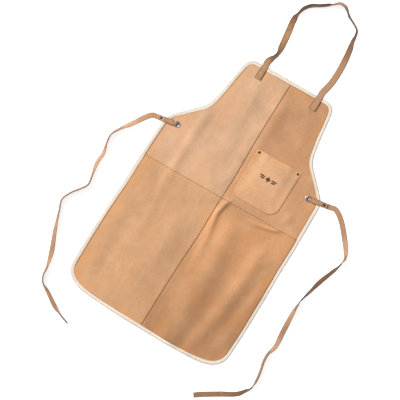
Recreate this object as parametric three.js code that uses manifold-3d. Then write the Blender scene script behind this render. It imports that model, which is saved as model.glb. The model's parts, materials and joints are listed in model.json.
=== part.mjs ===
// A split-leather welding apron, lying face up on a flat floor. Millimetres, +Z up, +Y towards the
// bib, +X towards the side with the pocket. The floor is z = 0, and the origin is under the centre
// of the apron without its free straps.
import * as THREE from "three";
import { mergeVertices } from "three/addons/utils/BufferGeometryUtils.js";
import Module from "manifold-3d";

const wasm = await Module();
wasm.setup();

// ---- Driving dimensions -------------------------------------------------------------------------

const WAIST_Y = 28.5; // the waist seam
const HEM_Y = -474;
const TOP_Y = 472;
const SEAM_GAP = 0.7; // from a seam line to the leather on each side of it
const ALLOWANCE = 13; // width of the turned seam allowance
const FOLD_WALL = 1.6; // leather standing in a turned seam
const THREAD = 0.7; // width of a sewing thread's bead
const HAND_LAY = 0.04; // how far a laid apron leans, per millimetre across, from the waist up
const HEM_LAY = 0.01; // the same at the hem

// Heights of the layers, from the floor up.
const ALLOWANCE_Z = [0.3, 1.9];
const UNDER_Z = [1.3, 1.9]; // the tape's lower leg, and the eyelets' washers
const PANEL_Z = [2.2, 3.8];
const OVER_Z = [4.1, 4.7]; // the tape's upper leg
const SEAM_THREAD_Z = [2.4, 3.2];
const TAPE_THREAD_Z = [5.0, 5.5];
const STRAP_END_Z = [5.0, 6.2];
const STRAP_THREAD_Z = [6.5, 6.9];
const POCKET_Z = [4.1, 5.7];
const POCKET_THREAD_Z = [6.0, 6.5];

const TAPE_WIDTH = 13; // cotton tape showing on each face
const TAPE_ROOM = 0.9; // from the tape's outer fold to the leather's edge
const TAPE_STITCH = 11; // from the tape's outer fold to its stitching

const POCKET = { left: 20, right: 183, bottom: 55, top: 226, corner: 33 };
const POCKET_MARGIN = 15; // sewn down flat around the pocket
const POCKET_WALL = 1.6;
const POCKET_SWELL = 5.5; // clear height inside the pocket
const POCKET_STITCH = 3.5;
const POCKET_RIVETS = [["left", 28.5], ["right", 174]];
const POCKET_RIVET_Y = 218;
const RIVET_CAP_R = 3.8;
const RIVET_POST_R = 1.5;
const RIVET_HOLE_R = 1.9;
const RIVET_CAP_RISE = 1.5;

const EYELET_X = 246;
const EYELET_Y = 165.5;
const EYELET_FLANGE_R = 11.5;
const EYELET_HOLE_R = 6;
const EYELET_BARREL_R = 6.7;
const EYELET_FIT_R = 7.1;

const NECK_X = 102;
const NECK_SEWN_Y = 423;
const NECK_WIDTH = 22;
const NECK_HINGE_Y = 477;
const STRAP_THICK = 1.2;
const STRAP_CROWN = 0.04; // a strap is this much thinner at its edges, on each face
const STRAP_GAP = 0.9; // from a strap's hinge line to the leather on each side of it

const TIE_WIDTH = 17.5;
const TIE_THICK = 1.0;
const TIE_TILT = THREE.MathUtils.degToRad(10.5); // both ties leave their eyelets turned this way
const TIE_RIVET_U = 55.2; // along the tie from its eyelet
const TIE_LOOP_U = 78;

// ---- Colours ------------------------------------------------------------------------------------

const LEATHER = { color: 0xd9a77a, roughness: 0.9, metalness: 0 };
const STRAP_LEATHER = { color: 0xc08a62, roughness: 0.85, metalness: 0 };
const COTTON = { color: 0xf1e4cd, roughness: 0.95, metalness: 0 };
const SEWING_THREAD = { color: 0xb07a4e, roughness: 0.8, metalness: 0 };
const NICKEL = { color: 0xc9c5bd, roughness: 0.3, metalness: 1 };
const BRONZED = { color: 0x4a2f22, roughness: 0.45, metalness: 1 };

// ---- Solids -------------------------------------------------------------------------------------

/** A closed three.js geometry as a solid that can be cut and joined. */
function solidOf(geometry) {
  const bare = geometry.index ? geometry.toNonIndexed() : geometry.clone();
  bare.deleteAttribute("normal");
  bare.deleteAttribute("uv");
  const merged = mergeVertices(bare, 1e-4);
  return new wasm.Manifold(
    new wasm.Mesh({
      numProp: 3,
      vertProperties: new Float32Array(merged.attributes.position.array),
      triVerts: new Uint32Array(merged.index.array),
    }),
  );
}

/** A solid as a three.js geometry. */
function geometryOf(solid) {
  const mesh = solid.getMesh();
  const geometry = new THREE.BufferGeometry();
  geometry.setAttribute("position", new THREE.BufferAttribute(mesh.vertProperties, 3));
  geometry.setIndex(new THREE.BufferAttribute(mesh.triVerts, 1));
  return geometry;
}

/** A plate of the given outline between two heights. */
function plate(points, [low, high]) {
  const geometry = new THREE.ExtrudeGeometry(new THREE.Shape(points), {
    depth: high - low,
    bevelEnabled: false,
  });
  return solidOf(geometry.translate(0, 0, low));
}

/** A block between two corners. */
function block(x0, x1, y0, y1, [low, high]) {
  const geometry = new THREE.BoxGeometry(x1 - x0, y1 - y0, high - low);
  return solidOf(geometry.translate((x0 + x1) / 2, (y0 + y1) / 2, (low + high) / 2));
}

/** An upright rod, for holes. */
function rod(x, y, radius, [low, high], sides = 20) {
  const geometry = new THREE.CylinderGeometry(radius, radius, high - low, sides);
  return solidOf(geometry.rotateX(Math.PI / 2).translate(x, y, (low + high) / 2));
}

/** A round piece about the Z axis from its profile of [radius, height] pairs. */
function turned(profile, sides = 28) {
  const points = profile.map(([radius, height]) => new THREE.Vector2(radius, height));
  return new THREE.LatheGeometry(points, sides).rotateX(Math.PI / 2);
}

// ---- The apron's outline ------------------------------------------------------------------------

/** The right half of the outline, from the hem's middle round to the top's middle. */
function halfOutline() {
  const path = new THREE.Path();
  path.moveTo(0, HEM_Y);
  path.quadraticCurveTo(130, HEM_Y, 205, -468);
  path.bezierCurveTo(262, -463, 298, -440, 298, -395);
  path.quadraticCurveTo(300, -350, 300, -300);
  path.quadraticCurveTo(300, -200, 296, -100);
  path.lineTo(296, 0);
  path.lineTo(292, 145);
  path.quadraticCurveTo(289, 175, 271, 194);
  path.lineTo(209, 257);
  path.quadraticCurveTo(193, 273, 187, 300);
  path.quadraticCurveTo(178, 336, 171.5, 394);
  path.lineTo(165.5, 434);
  path.bezierCurveTo(163, 455, 152, TOP_Y, 128, TOP_Y);
  path.lineTo(0, TOP_Y);
  return path.getPoints(8);
}

/** The whole outline, counter-clockwise, drawn in by a distance. */
function outline(inset) {
  const right = halfOutline();
  const left = right.slice(1, -1).reverse().map((p) => new THREE.Vector2(-p.x, p.y));
  const points = [...right, ...left].filter((p, i, all) => p.distanceTo(all.at(i - 1)) > 0.01);
  return points.map((point, i) => {
    const before = points.at(i - 1);
    const after = points[(i + 1) % points.length];
    const along = new THREE.Vector2()
      .add(point.clone().sub(before).normalize())
      .add(after.clone().sub(point).normalize())
      .normalize();
    return new THREE.Vector2(point.x - along.y * inset, point.y + along.x * inset);
  });
}

const apronPlate = (inset, heights) => plate(outline(inset), heights);

/** Where a point of the flat pattern comes to lie: the apron leans a little as it is laid. */
function laid(x, y) {
  const down = THREE.MathUtils.clamp((WAIST_Y - y) / (WAIST_Y - HEM_Y), 0, 1);
  return [x, y + x * THREE.MathUtils.lerp(HAND_LAY, HEM_LAY, down)];
}

/** A pattern piece moved to where it lies. */
function layDown(solid) {
  const geometry = geometryOf(solid);
  const position = geometry.attributes.position;
  for (let i = 0; i < position.count; i++) {
    position.setXY(i, ...laid(position.getX(i), position.getY(i)));
  }
  return geometry;
}

// ---- Assembly -----------------------------------------------------------------------------------

const apron = new THREE.Group();
const freeStraps = new Set();

/** Adds one named piece. */
function add(name, geometry, finish) {
  geometry.computeVertexNormals();
  const mesh = new THREE.Mesh(geometry, new THREE.MeshStandardMaterial(finish));
  mesh.name = name;
  apron.add(mesh);
  return mesh;
}

// ---- Leather panels -----------------------------------------------------------------------------

/** One panel: its face, and the allowances turned under at its centre seam and its waist seam. */
function panel(side, isBib) {
  const far = 700;
  const xs = side > 0 ? [SEAM_GAP, far] : [-far, -SEAM_GAP];
  const ys = isBib ? [WAIST_Y + SEAM_GAP, far] : [-far, WAIST_Y - SEAM_GAP];
  const quarter = block(...xs, ...ys, [-1, 20]);
  const edgeX = SEAM_GAP + ALLOWANCE;
  const centreStrip = side > 0 ? [SEAM_GAP, edgeX] : [-edgeX, -SEAM_GAP];
  const edgeY = SEAM_GAP + ALLOWANCE;
  const waistStrip = isBib
    ? [WAIST_Y + SEAM_GAP, WAIST_Y + edgeY]
    : [WAIST_Y - edgeY, WAIST_Y - SEAM_GAP];
  const wallX = SEAM_GAP + FOLD_WALL;
  const centreWall = side > 0 ? [SEAM_GAP, wallX] : [-wallX, -SEAM_GAP];
  const waistWall = isBib
    ? [WAIST_Y + SEAM_GAP, WAIST_Y + wallX]
    : [WAIST_Y - wallX, WAIST_Y - SEAM_GAP];
  const inner = apronPlate(TAPE_WIDTH + 0.6, [-1, 20]);
  const strips = block(...centreStrip, ...ys, ALLOWANCE_Z).add(block(...xs, ...waistStrip, ALLOWANCE_Z));
  const wallZ = [ALLOWANCE_Z[0], PANEL_Z[1]];
  const walls = block(...centreWall, ...ys, wallZ).add(block(...xs, ...waistWall, wallZ));
  const turnedUnder = strips.add(walls).intersect(inner);
  return apronPlate(TAPE_ROOM, PANEL_Z).add(turnedUnder).intersect(quarter);
}

for (const [word, side] of [["left", -1], ["right", 1]]) {
  let bib = panel(side, true);
  bib = bib.subtract(rod(side * EYELET_X, EYELET_Y, EYELET_FIT_R, [-1, 20]));
  if (side > 0) {
    for (const [, x] of POCKET_RIVETS) {
      bib = bib.subtract(rod(x, POCKET_RIVET_Y, RIVET_HOLE_R, [-1, 20]));
    }
  }
  add(`${word}_bib_panel`, layDown(bib), LEATHER);
  add(`${word}_skirt_panel`, layDown(panel(side, false)), LEATHER);
}

// ---- Seam threads -------------------------------------------------------------------------------

const threadEnd = TAPE_WIDTH + 2;
const half = THREAD / 2;
const clearOfCross = 1.2;
const bibSeam = block(-half, half, WAIST_Y + clearOfCross, TOP_Y - threadEnd, SEAM_THREAD_Z);
add("bib_centre_thread", layDown(bibSeam), SEWING_THREAD);
const skirtSeam = block(-half, half, HEM_Y + threadEnd, WAIST_Y - clearOfCross, SEAM_THREAD_Z);
add("skirt_centre_thread", layDown(skirtSeam), SEWING_THREAD);
const waistEnd = 296 - threadEnd;
const leftWaist = block(-waistEnd, -clearOfCross, WAIST_Y - half, WAIST_Y + half, SEAM_THREAD_Z);
add("left_waist_thread", layDown(leftWaist), SEWING_THREAD);
const rightWaist = block(clearOfCross, waistEnd, WAIST_Y - half, WAIST_Y + half, SEAM_THREAD_Z);
add("right_waist_thread", layDown(rightWaist), SEWING_THREAD);

// ---- Edge tape ----------------------------------------------------------------------------------

/** A cotton tape folded over the whole edge. */
function edgeTape() {
  const folded = apronPlate(0, [UNDER_Z[0], OVER_Z[1]]);
  const middle = apronPlate(TAPE_WIDTH, [-1, 20]);
  const slot = apronPlate(0.6, [UNDER_Z[1], OVER_Z[0]]);
  return folded.subtract(middle).subtract(slot);
}

/** The stitching along the tape's inner edge. */
function tapeStitching() {
  const line = apronPlate(TAPE_STITCH, TAPE_THREAD_Z);
  return line.subtract(apronPlate(TAPE_STITCH + THREAD, [-1, 20]));
}

const everywhere = 700;
const bibSide = block(-everywhere, everywhere, WAIST_Y + SEAM_GAP, everywhere, [-1, 20]);
const skirtSide = block(-everywhere, everywhere, -everywhere, WAIST_Y - SEAM_GAP, [-1, 20]);
const underStraps = [-1, 1].map((side) =>
  block(side * NECK_X - NECK_WIDTH, side * NECK_X + NECK_WIDTH, 400, everywhere, [-1, 20]),
);
const underTies = [-1, 1].map((side) =>
  block(side * (EYELET_X + 45) - 40, side * (EYELET_X + 45) + 40, 135, 212, [-1, 20]),
);
add("bib_binding", layDown(edgeTape().intersect(bibSide)), COTTON);
add("skirt_binding", layDown(edgeTape().intersect(skirtSide)), COTTON);
const covered = [...underStraps, ...underTies].reduce((all, next) => all.add(next));
const stitchedRuns = tapeStitching().intersect(bibSide).subtract(covered).decompose();
for (const run of stitchedRuns) {
  const { min, max } = run.boundingBox();
  const side = max[0] < 0 ? "left" : "right";
  const name = min[0] < 0 && max[0] > 0 ? "top_edge" : `${side}_${max[1] < 200 ? "side" : "armhole"}`;
  add(`${name}_thread`, layDown(run), SEWING_THREAD);
}
add("skirt_binding_thread", layDown(tapeStitching().intersect(skirtSide)), SEWING_THREAD);

// ---- Pocket -------------------------------------------------------------------------------------

/** The pocket's outline, drawn in at its sides and bottom, with its mouth raised or lowered. */
function pocketOutline(inset, mouth) {
  const left = POCKET.left + inset;
  const right = POCKET.right - inset;
  const bottom = POCKET.bottom + inset;
  const corner = POCKET.corner - Math.min(inset, POCKET.corner - 8);
  const shape = new THREE.Path();
  shape.moveTo(left, mouth);
  shape.lineTo(left, bottom + corner);
  shape.absarc(left + corner, bottom + corner, corner, Math.PI, 1.5 * Math.PI, false);
  shape.absarc(right - corner, bottom + corner, corner, 1.5 * Math.PI, 2 * Math.PI, false);
  shape.lineTo(right, mouth);
  return shape.getPoints(8).filter((p, i, all) => p.distanceTo(all.at(i - 1)) > 0.01);
}

/** The pocket: a flat sewn margin on three sides, a swell in the middle, and an open mouth. */
function pocket() {
  const ceiling = POCKET_Z[0] + POCKET_SWELL;
  const sewn = plate(pocketOutline(0, POCKET.top), POCKET_Z);
  const swell = plate(pocketOutline(POCKET_MARGIN, POCKET.top), [POCKET_Z[0], ceiling + POCKET_WALL]);
  const inside = POCKET_MARGIN + POCKET_WALL;
  const hollow = plate(pocketOutline(inside, POCKET.top + 50), [POCKET_Z[0] - 1, ceiling]);
  let whole = sewn.add(swell).subtract(hollow);
  for (const [, x] of POCKET_RIVETS) {
    whole = whole.subtract(rod(x, POCKET_RIVET_Y, RIVET_HOLE_R, [-1, 20]));
  }
  return whole;
}

add("pocket", layDown(pocket()), LEATHER);
const threadTop = POCKET_RIVET_Y - 9;
const pocketSeam = plate(pocketOutline(POCKET_STITCH, threadTop), POCKET_THREAD_Z);
const pocketSeamInner = plate(pocketOutline(POCKET_STITCH + THREAD, threadTop + 9), [-1, 20]);
add("pocket_thread", layDown(pocketSeam.subtract(pocketSeamInner)), SEWING_THREAD);

// ---- Rivets -------------------------------------------------------------------------------------

/** A rivet's domed cap with its post, from the cap's seat down to the post's foot. */
function rivetCap(seat, foot) {
  const dome = [0, 0.25, 0.5, 0.75, 1].map((t) => {
    const angle = (t * Math.PI) / 2;
    return [RIVET_CAP_R * Math.cos(angle), seat + 0.4 + (RIVET_CAP_RISE - 0.4) * Math.sin(angle)];
  });
  dome[dome.length - 1][0] = 0;
  return turned([[0, foot], [RIVET_POST_R, foot], [RIVET_POST_R, seat], [RIVET_CAP_R, seat], ...dome]);
}

/** The disc that the post is pressed into at the back. */
function rivetBack(low, high) {
  return turned([[0, low], [RIVET_CAP_R, low], [RIVET_CAP_R, high], [0, high]]);
}

const pocketCapZ = POCKET_Z[1] + 0.3;
const pocketBackZ = [0.9, 1.9];
for (const [word, x] of POCKET_RIVETS) {
  const place = laid(x, POCKET_RIVET_Y);
  const cap = add(`${word}_pocket_rivet_cap`, rivetCap(pocketCapZ, pocketBackZ[1] + 0.3), BRONZED);
  cap.position.set(...place, 0);
  const back = add(`${word}_pocket_rivet_back`, rivetBack(...pocketBackZ), BRONZED);
  back.position.set(...place, 0);
}

// ---- Eyelets ------------------------------------------------------------------------------------

const eyeletProfile = [
  [EYELET_HOLE_R, UNDER_Z[0]],
  [EYELET_BARREL_R, UNDER_Z[0]],
  [EYELET_BARREL_R, OVER_Z[0]],
  [EYELET_FLANGE_R, OVER_Z[0]],
  [EYELET_FLANGE_R - 0.6, 4.8],
  [EYELET_FLANGE_R - 2, 5.2],
  [EYELET_HOLE_R + 1.6, 5.3],
  [EYELET_HOLE_R + 0.4, 4.9],
  [EYELET_HOLE_R, 4.2],
  [EYELET_HOLE_R, UNDER_Z[0]],
];
const washerProfile = [
  [EYELET_FIT_R, UNDER_Z[0]],
  [EYELET_FLANGE_R, UNDER_Z[0]],
  [EYELET_FLANGE_R, UNDER_Z[1]],
  [EYELET_FIT_R, UNDER_Z[1]],
  [EYELET_FIT_R, UNDER_Z[0]],
];
for (const [word, side] of [["left", -1], ["right", 1]]) {
  const place = laid(side * EYELET_X, EYELET_Y);
  add(`${word}_eyelet`, turned(eyeletProfile, 40), NICKEL).position.set(...place, 0);
  add(`${word}_eyelet_washer`, turned(washerProfile, 40), NICKEL).position.set(...place, 0);
}

// ---- Flat straps --------------------------------------------------------------------------------

/**
 * A flat strap along a route of [x, y, roll in degrees, height of its lowest edge]. Roll 0 lies
 * flat, and 90 stands on its edge with the strap's left side up. Each station has its own frame.
 */
function strap(route, width, thick, steps) {
  const curve = new THREE.CatmullRomCurve3(
    route.map(([x, y, , lift]) => new THREE.Vector3(x, y, lift)),
    false,
    "centripetal",
  );
  const crown = [-1, -0.5, 0, 0.5, 1].map((across) => {
    const half = thick / 2 - STRAP_CROWN * across * across;
    return new THREE.Vector2((width / 2) * across, half);
  });
  const below = crown.map(({ x, y }) => new THREE.Vector2(x, -y));
  const section = new THREE.Shape([...below, ...crown.reverse()]);
  const geometry = new THREE.ExtrudeGeometry(section, { depth: 1, steps, bevelEnabled: false });
  const position = geometry.attributes.position;
  const up = new THREE.Vector3(0, 0, 1);
  for (let i = 0; i < position.count; i++) {
    const t = THREE.MathUtils.clamp(position.getZ(i), 0, 1);
    const at = t * (route.length - 1);
    const k = Math.min(Math.floor(at), route.length - 2);
    const mix = THREE.MathUtils.smoothstep(at - k, 0, 1);
    const roll = THREE.MathUtils.degToRad(THREE.MathUtils.lerp(route[k][2], route[k + 1][2], mix));
    const tangent = curve.getTangent(t);
    const left = new THREE.Vector3().crossVectors(up, tangent).normalize();
    const over = new THREE.Vector3().crossVectors(tangent, left).normalize();
    const across = left.clone().multiplyScalar(Math.cos(roll)).addScaledVector(over, Math.sin(roll));
    const face = new THREE.Vector3().crossVectors(tangent, across);
    const rise = (width / 2) * Math.abs(across.z) + (thick / 2) * Math.abs(face.z);
    const point = curve.getPoint(t);
    point.z = Math.max(point.z, 0) + rise;
    point.addScaledVector(across, position.getX(i)).addScaledVector(face, position.getY(i));
    position.setXYZ(i, point.x, point.y, point.z);
  }
  return geometry;
}

/** Adds a strap that lies free, which the apron's own box leaves out. */
function addFree(name, geometry) {
  freeStraps.add(add(name, geometry, STRAP_LEATHER));
}

// ---- Neck strap ---------------------------------------------------------------------------------

const sewnTop = NECK_HINGE_Y - STRAP_GAP;
for (const [word, side] of [["left", -1], ["right", 1]]) {
  const x0 = side * NECK_X - NECK_WIDTH / 2;
  const x1 = side * NECK_X + NECK_WIDTH / 2;
  const sewn = block(x0, x1, NECK_SEWN_Y, sewnTop, STRAP_END_Z);
  add(`${word}_neck_strap_end`, layDown(sewn), STRAP_LEATHER);
  const box = (inset) => [x0 + inset, x1 - inset, NECK_SEWN_Y + inset, TOP_Y - 4 - inset];
  const outer = block(...box(3), STRAP_THREAD_Z);
  const inner = block(...box(3 + THREAD), [-1, 20]);
  add(`${word}_neck_strap_thread`, layDown(outer.subtract(inner)), SEWING_THREAD);
}

const strapSeat = (STRAP_END_Z[0] + STRAP_END_Z[1] - STRAP_THICK) / 2;
const neckStart = laid(-NECK_X, NECK_HINGE_Y + STRAP_GAP);
const neckEnd = laid(NECK_X, NECK_HINGE_Y + STRAP_GAP);
const NECK_ROUTE = [
  [...neckStart, 0, strapSeat],
  [-102.5, 486, 4, 3.6],
  [-92, 508, 52, 0.6],
  [-88, 524, 56, 0],
  [-90, 549, 20, 0],
  [-96, 598, 3, 0],
  [-103, 645, 24, 0],
  [-101, 670, 84, 0],
  [-95, 692, 62, 0],
  [-79, 713, 64, 0],
  [-54, 729, 84, 0],
  [-34, 744, 90, 0],
  [-16, 759, 94, 0],
  [-2, 770, 124, 0],
  [17, 770, 128, 0],
  [36, 756, 112, 0],
  [47, 747, 116, 0],
  [64, 739, 96, 0],
  [88, 725, 97, 0],
  [95, 708, 104, 0],
  [97, 686, 126, 0],
  [104, 655, 156, 0],
  [111, 597, 176, 0],
  [111, 543, 180, 0],
  [106, 512, 180, 0.6],
  [101.8, 494, 180, 3.2],
  [...neckEnd, 180, strapSeat],
];
addFree("neck_strap_loop", strap(NECK_ROUTE, NECK_WIDTH, STRAP_THICK, 78));

// ---- Waist ties ---------------------------------------------------------------------------------

/** A strip of the tie's thickness along a side view of [along, height of its middle] points. */
function tieSideView(points) {
  const line = points.map(([u, z]) => new THREE.Vector2(u, z));
  const normals = line.map((point, i) => {
    const before = line[Math.max(i - 1, 0)];
    const after = line[Math.min(i + 1, line.length - 1)];
    const along = after.clone().sub(before).normalize();
    return new THREE.Vector2(-along.y, along.x);
  });
  const over = line.map((p, i) => p.clone().addScaledVector(normals[i], TIE_THICK / 2));
  const under = line.map((p, i) => p.clone().addScaledVector(normals[i], -TIE_THICK / 2));
  const shape = new THREE.Shape([...over, ...under.reverse()]);
  const width = TIE_WIDTH + 2;
  const geometry = new THREE.ExtrudeGeometry(shape, { depth: width, bevelEnabled: false });
  return solidOf(geometry.translate(0, 0, -width / 2).rotateX(Math.PI / 2));
}

/**
 * The tie's loop: up through the eyelet, over the apron's edge, and down on the standing part,
 * which comes back under the edge. It is drawn narrow where it passes through the eyelet.
 */
function tieLoop() {
  const over = tieSideView([[-0.5, 6.1], [48.5, 6.1], [51.2, 4.4], [64, 4.4]]);
  const under = tieSideView([[-0.5, 0.5], [48.5, 0.5], [51.5, 3.1], [59, 3.1], [68, 0.5], [TIE_LOOP_U, 0.5]]);
  const riser = block(-0.5, 0.5, -TIE_WIDTH, TIE_WIDTH, [0, 6.6]);
  const narrow = 5;
  const wide = TIE_WIDTH / 2;
  const plan = [[-2, -narrow], [5, -narrow], [14, -wide], [TIE_LOOP_U, -wide]];
  const mirrored = [...plan].reverse().map(([u, v]) => [u, -v]);
  const cut = plate([...plan, ...mirrored].map(([u, v]) => new THREE.Vector2(u, v)), [-1, 20]);
  const hole = rod(TIE_RIVET_U, 0, RIVET_HOLE_R, [-1, 20]);
  return over.add(under).add(riser).intersect(cut).subtract(hole);
}

const tieCapZ = 5.2;
const tieBackZ = [1.3, 2.3];
for (const [word, side, heading] of [["left", -1, Math.PI + TIE_TILT], ["right", 1, TIE_TILT]]) {
  const pivot = new THREE.Group();
  pivot.position.set(...laid(side * EYELET_X, EYELET_Y), 0);
  pivot.rotation.z = heading;
  apron.add(pivot);
  const loop = add(`${word}_tie_loop`, geometryOf(tieLoop()), STRAP_LEATHER);
  const cap = add(`${word}_tie_rivet_cap`, rivetCap(tieCapZ, tieBackZ[1] + 0.3), BRONZED);
  const back = add(`${word}_tie_rivet_back`, rivetBack(...tieBackZ), BRONZED);
  cap.position.x = TIE_RIVET_U;
  back.position.x = TIE_RIVET_U;
  pivot.add(loop, cap, back);
}

/** A point along a tie from its eyelet, where the free tail starts. */
function alongTie(side, u) {
  const [x, y] = laid(side * EYELET_X, EYELET_Y);
  return [x + side * u * Math.cos(TIE_TILT), y + side * u * Math.sin(TIE_TILT)];
}

const tailU = TIE_LOOP_U + 2 * STRAP_GAP;
const LEFT_TAIL_ROUTE = [
  [...alongTie(-1, tailU), 0, 0],
  [-332, 138, 4, 0],
  [-349, 117, 6, 0],
  [-372, 80, 4, 0],
  [-397, 44, 22, 0],
  [-411, 14, 84, 0],
  [-408, -17, 96, 0],
  [-400, -51, 140, 0],
  [-401, -90, 150, 0],
  [-393, -131, 118, 0],
  [-388, -164, 90, 0],
  [-403, -190, 88, 0],
  [-420, -213, 90, 0],
  [-435, -249, 92, 0],
  [-424, -283, 70, 0],
  [-414, -313, 44, 0],
  [-399, -353, 30, 0],
  [-375, -410, 12, 0],
  [-360, -464, 60, 0],
  [-356, -492, 88, 0],
  [-343, -514, 86, 0],
  [-314, -531, 30, 0],
  [-272, -558, 20, 0],
  [-239, -572, 70, 0],
  [-207, -583, 62, 0],
];
addFree("left_tie_tail", strap(LEFT_TAIL_ROUTE, TIE_WIDTH, TIE_THICK, 78));

const RIGHT_TAIL_ROUTE = [
  [...alongTie(1, tailU), 0, 0],
  [335, 193, 6, 0],
  [350, 188, 8, 0],
  [374, 171, 4, 0],
  [405, 138, 6, 0],
  [438, 95, 40, 0],
  [449, 73, 84, 0],
  [447, 46, 104, 0],
  [438, 16, 140, 0],
  [421, -33, 158, 0],
  [409, -80, 130, 0],
  [401, -112, 98, 0],
  [398, -143, 88, 0],
  [399, -175, 40, 0],
  [404, -236, 10, 0],
  [408, -291, 40, 0],
  [400, -322, 82, 0],
  [401, -350, 90, 0],
  [410, -388, 92, 0],
  [414, -419, 94, 0],
  [413, -446, 112, 0],
  [400, -466, 138, 0],
  [385, -486, 160, 0],
  [335, -518, 176, 0],
  [283, -552, 180, 0],
  [265, -566, 180, 0],
];
addFree("right_tie_tail", strap(RIGHT_TAIL_ROUTE, TIE_WIDTH, TIE_THICK, 78));

// ---- Origin -------------------------------------------------------------------------------------

const apronBox = new THREE.Box3();
apron.updateMatrixWorld(true);
apron.traverse((piece) => {
  if (piece.isMesh && !freeStraps.has(piece)) apronBox.expandByObject(piece, true);
});
const centre = apronBox.getCenter(new THREE.Vector3());
apron.position.set(-centre.x, -centre.y, -apronBox.min.z);

export default apron;
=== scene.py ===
"""A split-leather welding apron laid face up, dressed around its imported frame. Metres, +Z up."""
import json
import logging
import math
from dataclasses import dataclass
from enum import Enum

import bmesh
import bpy
import numpy as np
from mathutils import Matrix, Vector

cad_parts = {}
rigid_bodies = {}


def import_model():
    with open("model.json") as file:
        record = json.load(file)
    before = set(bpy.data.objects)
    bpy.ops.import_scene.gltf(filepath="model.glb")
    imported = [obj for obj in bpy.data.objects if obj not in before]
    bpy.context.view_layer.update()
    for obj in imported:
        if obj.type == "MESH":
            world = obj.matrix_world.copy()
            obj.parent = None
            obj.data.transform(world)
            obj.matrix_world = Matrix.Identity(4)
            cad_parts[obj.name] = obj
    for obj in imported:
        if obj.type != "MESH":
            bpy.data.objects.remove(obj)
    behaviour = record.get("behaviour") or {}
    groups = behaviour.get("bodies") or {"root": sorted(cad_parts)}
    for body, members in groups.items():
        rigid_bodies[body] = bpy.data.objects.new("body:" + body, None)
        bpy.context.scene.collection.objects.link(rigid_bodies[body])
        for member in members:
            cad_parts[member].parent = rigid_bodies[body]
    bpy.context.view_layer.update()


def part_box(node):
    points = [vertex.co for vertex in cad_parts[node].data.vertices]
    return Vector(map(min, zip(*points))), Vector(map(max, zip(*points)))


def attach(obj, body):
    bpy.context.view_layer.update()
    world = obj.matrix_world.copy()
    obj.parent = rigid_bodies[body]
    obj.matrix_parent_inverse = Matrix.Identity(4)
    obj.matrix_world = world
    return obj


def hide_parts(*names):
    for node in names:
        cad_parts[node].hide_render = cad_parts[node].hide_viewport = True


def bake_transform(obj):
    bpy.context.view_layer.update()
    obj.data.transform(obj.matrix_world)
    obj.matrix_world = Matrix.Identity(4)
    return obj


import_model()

log = logging.getLogger("apron")

MM = 0.001
Pair = tuple[float, float]
Triple = tuple[float, float, float]
Colour = tuple[float, float, float]
Station = tuple[float, float, float, float]


class Side(Enum):
    """A side of the apron, seen laid face up. The value is the sign of X."""

    LEFT = -1
    RIGHT = 1

    @property
    def word(self) -> str:
        """The side's word in the frame's node names."""
        return self.name.lower()


class Half(Enum):
    """The part of the apron above or below the waist seam. The value is its body."""

    BIB = "bib"
    SKIRT = "skirt"


def smooth(t: np.ndarray | float) -> np.ndarray:
    """A smooth step from 0 to 1 as t goes from 0 to 1."""
    t = np.clip(t, 0.0, 1.0)
    return t * t * (3.0 - 2.0 * t)


def centre_of(node: str) -> np.ndarray:
    """The middle of a frame node's box, in metres."""
    low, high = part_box(node)
    return (np.array(low) + np.array(high)) / 2


def report(piece: bpy.types.Object) -> None:
    """Logs a finished piece."""
    log.info("%s: %d faces", piece.name, len(piece.data.polygons))


# ---- Meshes -------------------------------------------------------------------------------------


def make_piece(
    name: str,
    vertices: np.ndarray,
    faces: list,
    finish: "Finish",
    run: np.ndarray | None = None,
    wear: np.ndarray | None = None,
    sharp: float = 42.0,
) -> bpy.types.Object:
    """Makes one closed mesh piece.

    Args:
        name: The piece's name.
        vertices: The points, (n, 3), in metres in the row frame.
        faces: Lists of vertex numbers, with the faces outwards.
        finish: The finish it wears.
        run: A (n, 3) vector at each point that a finish can follow, or None.
        wear: A second (n, 3) vector for a finish to follow, or None.
        sharp: Edges that turn more than this many degrees are shaded sharp.

    Returns:
        The new object, at the origin, unturned.
    """
    mesh = bpy.data.meshes.new(name)
    mesh.from_pydata(np.asarray(vertices, float).tolist(), [], [list(f) for f in faces])
    for label, values in (("run", run), ("wear", wear)):
        if values is not None:
            attribute = mesh.attributes.new(label, "FLOAT_VECTOR", "POINT")
            attribute.data.foreach_set("vector", np.asarray(values, np.float32).ravel())
    close_mesh(mesh)
    mesh.set_sharp_from_angle(angle=math.radians(sharp))
    piece = bpy.data.objects.new(name, mesh)
    bpy.context.scene.collection.objects.link(piece)
    mesh.materials.append(finish.material())
    return piece


def outwards(points: np.ndarray, faces: list) -> list:
    """Turns a closed shell's faces over if they face inwards.

    Args:
        points: The shell's points, (n, 3).
        faces: Its faces, all turned the same way.

    Returns:
        The faces, facing outwards.
    """
    middle = points.mean(0)
    volume = 0.0
    for size in {len(face) for face in faces}:
        ring = points[np.array([face for face in faces if len(face) == size])] - middle
        for k in range(1, size - 1):
            volume += float(np.einsum("ij,ij->", ring[:, 0], np.cross(ring[:, k], ring[:, k + 1])))
    return faces if volume > 0 else [face[::-1] for face in faces]


def close_mesh(mesh: bpy.types.Mesh) -> None:
    """Merges doubled points and shades the faces smooth."""
    edit = bmesh.new()
    edit.from_mesh(mesh)
    bmesh.ops.remove_doubles(edit, verts=edit.verts, dist=1e-8)
    for face in edit.faces:
        face.smooth = True
    edit.to_mesh(mesh)
    edit.free()


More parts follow.
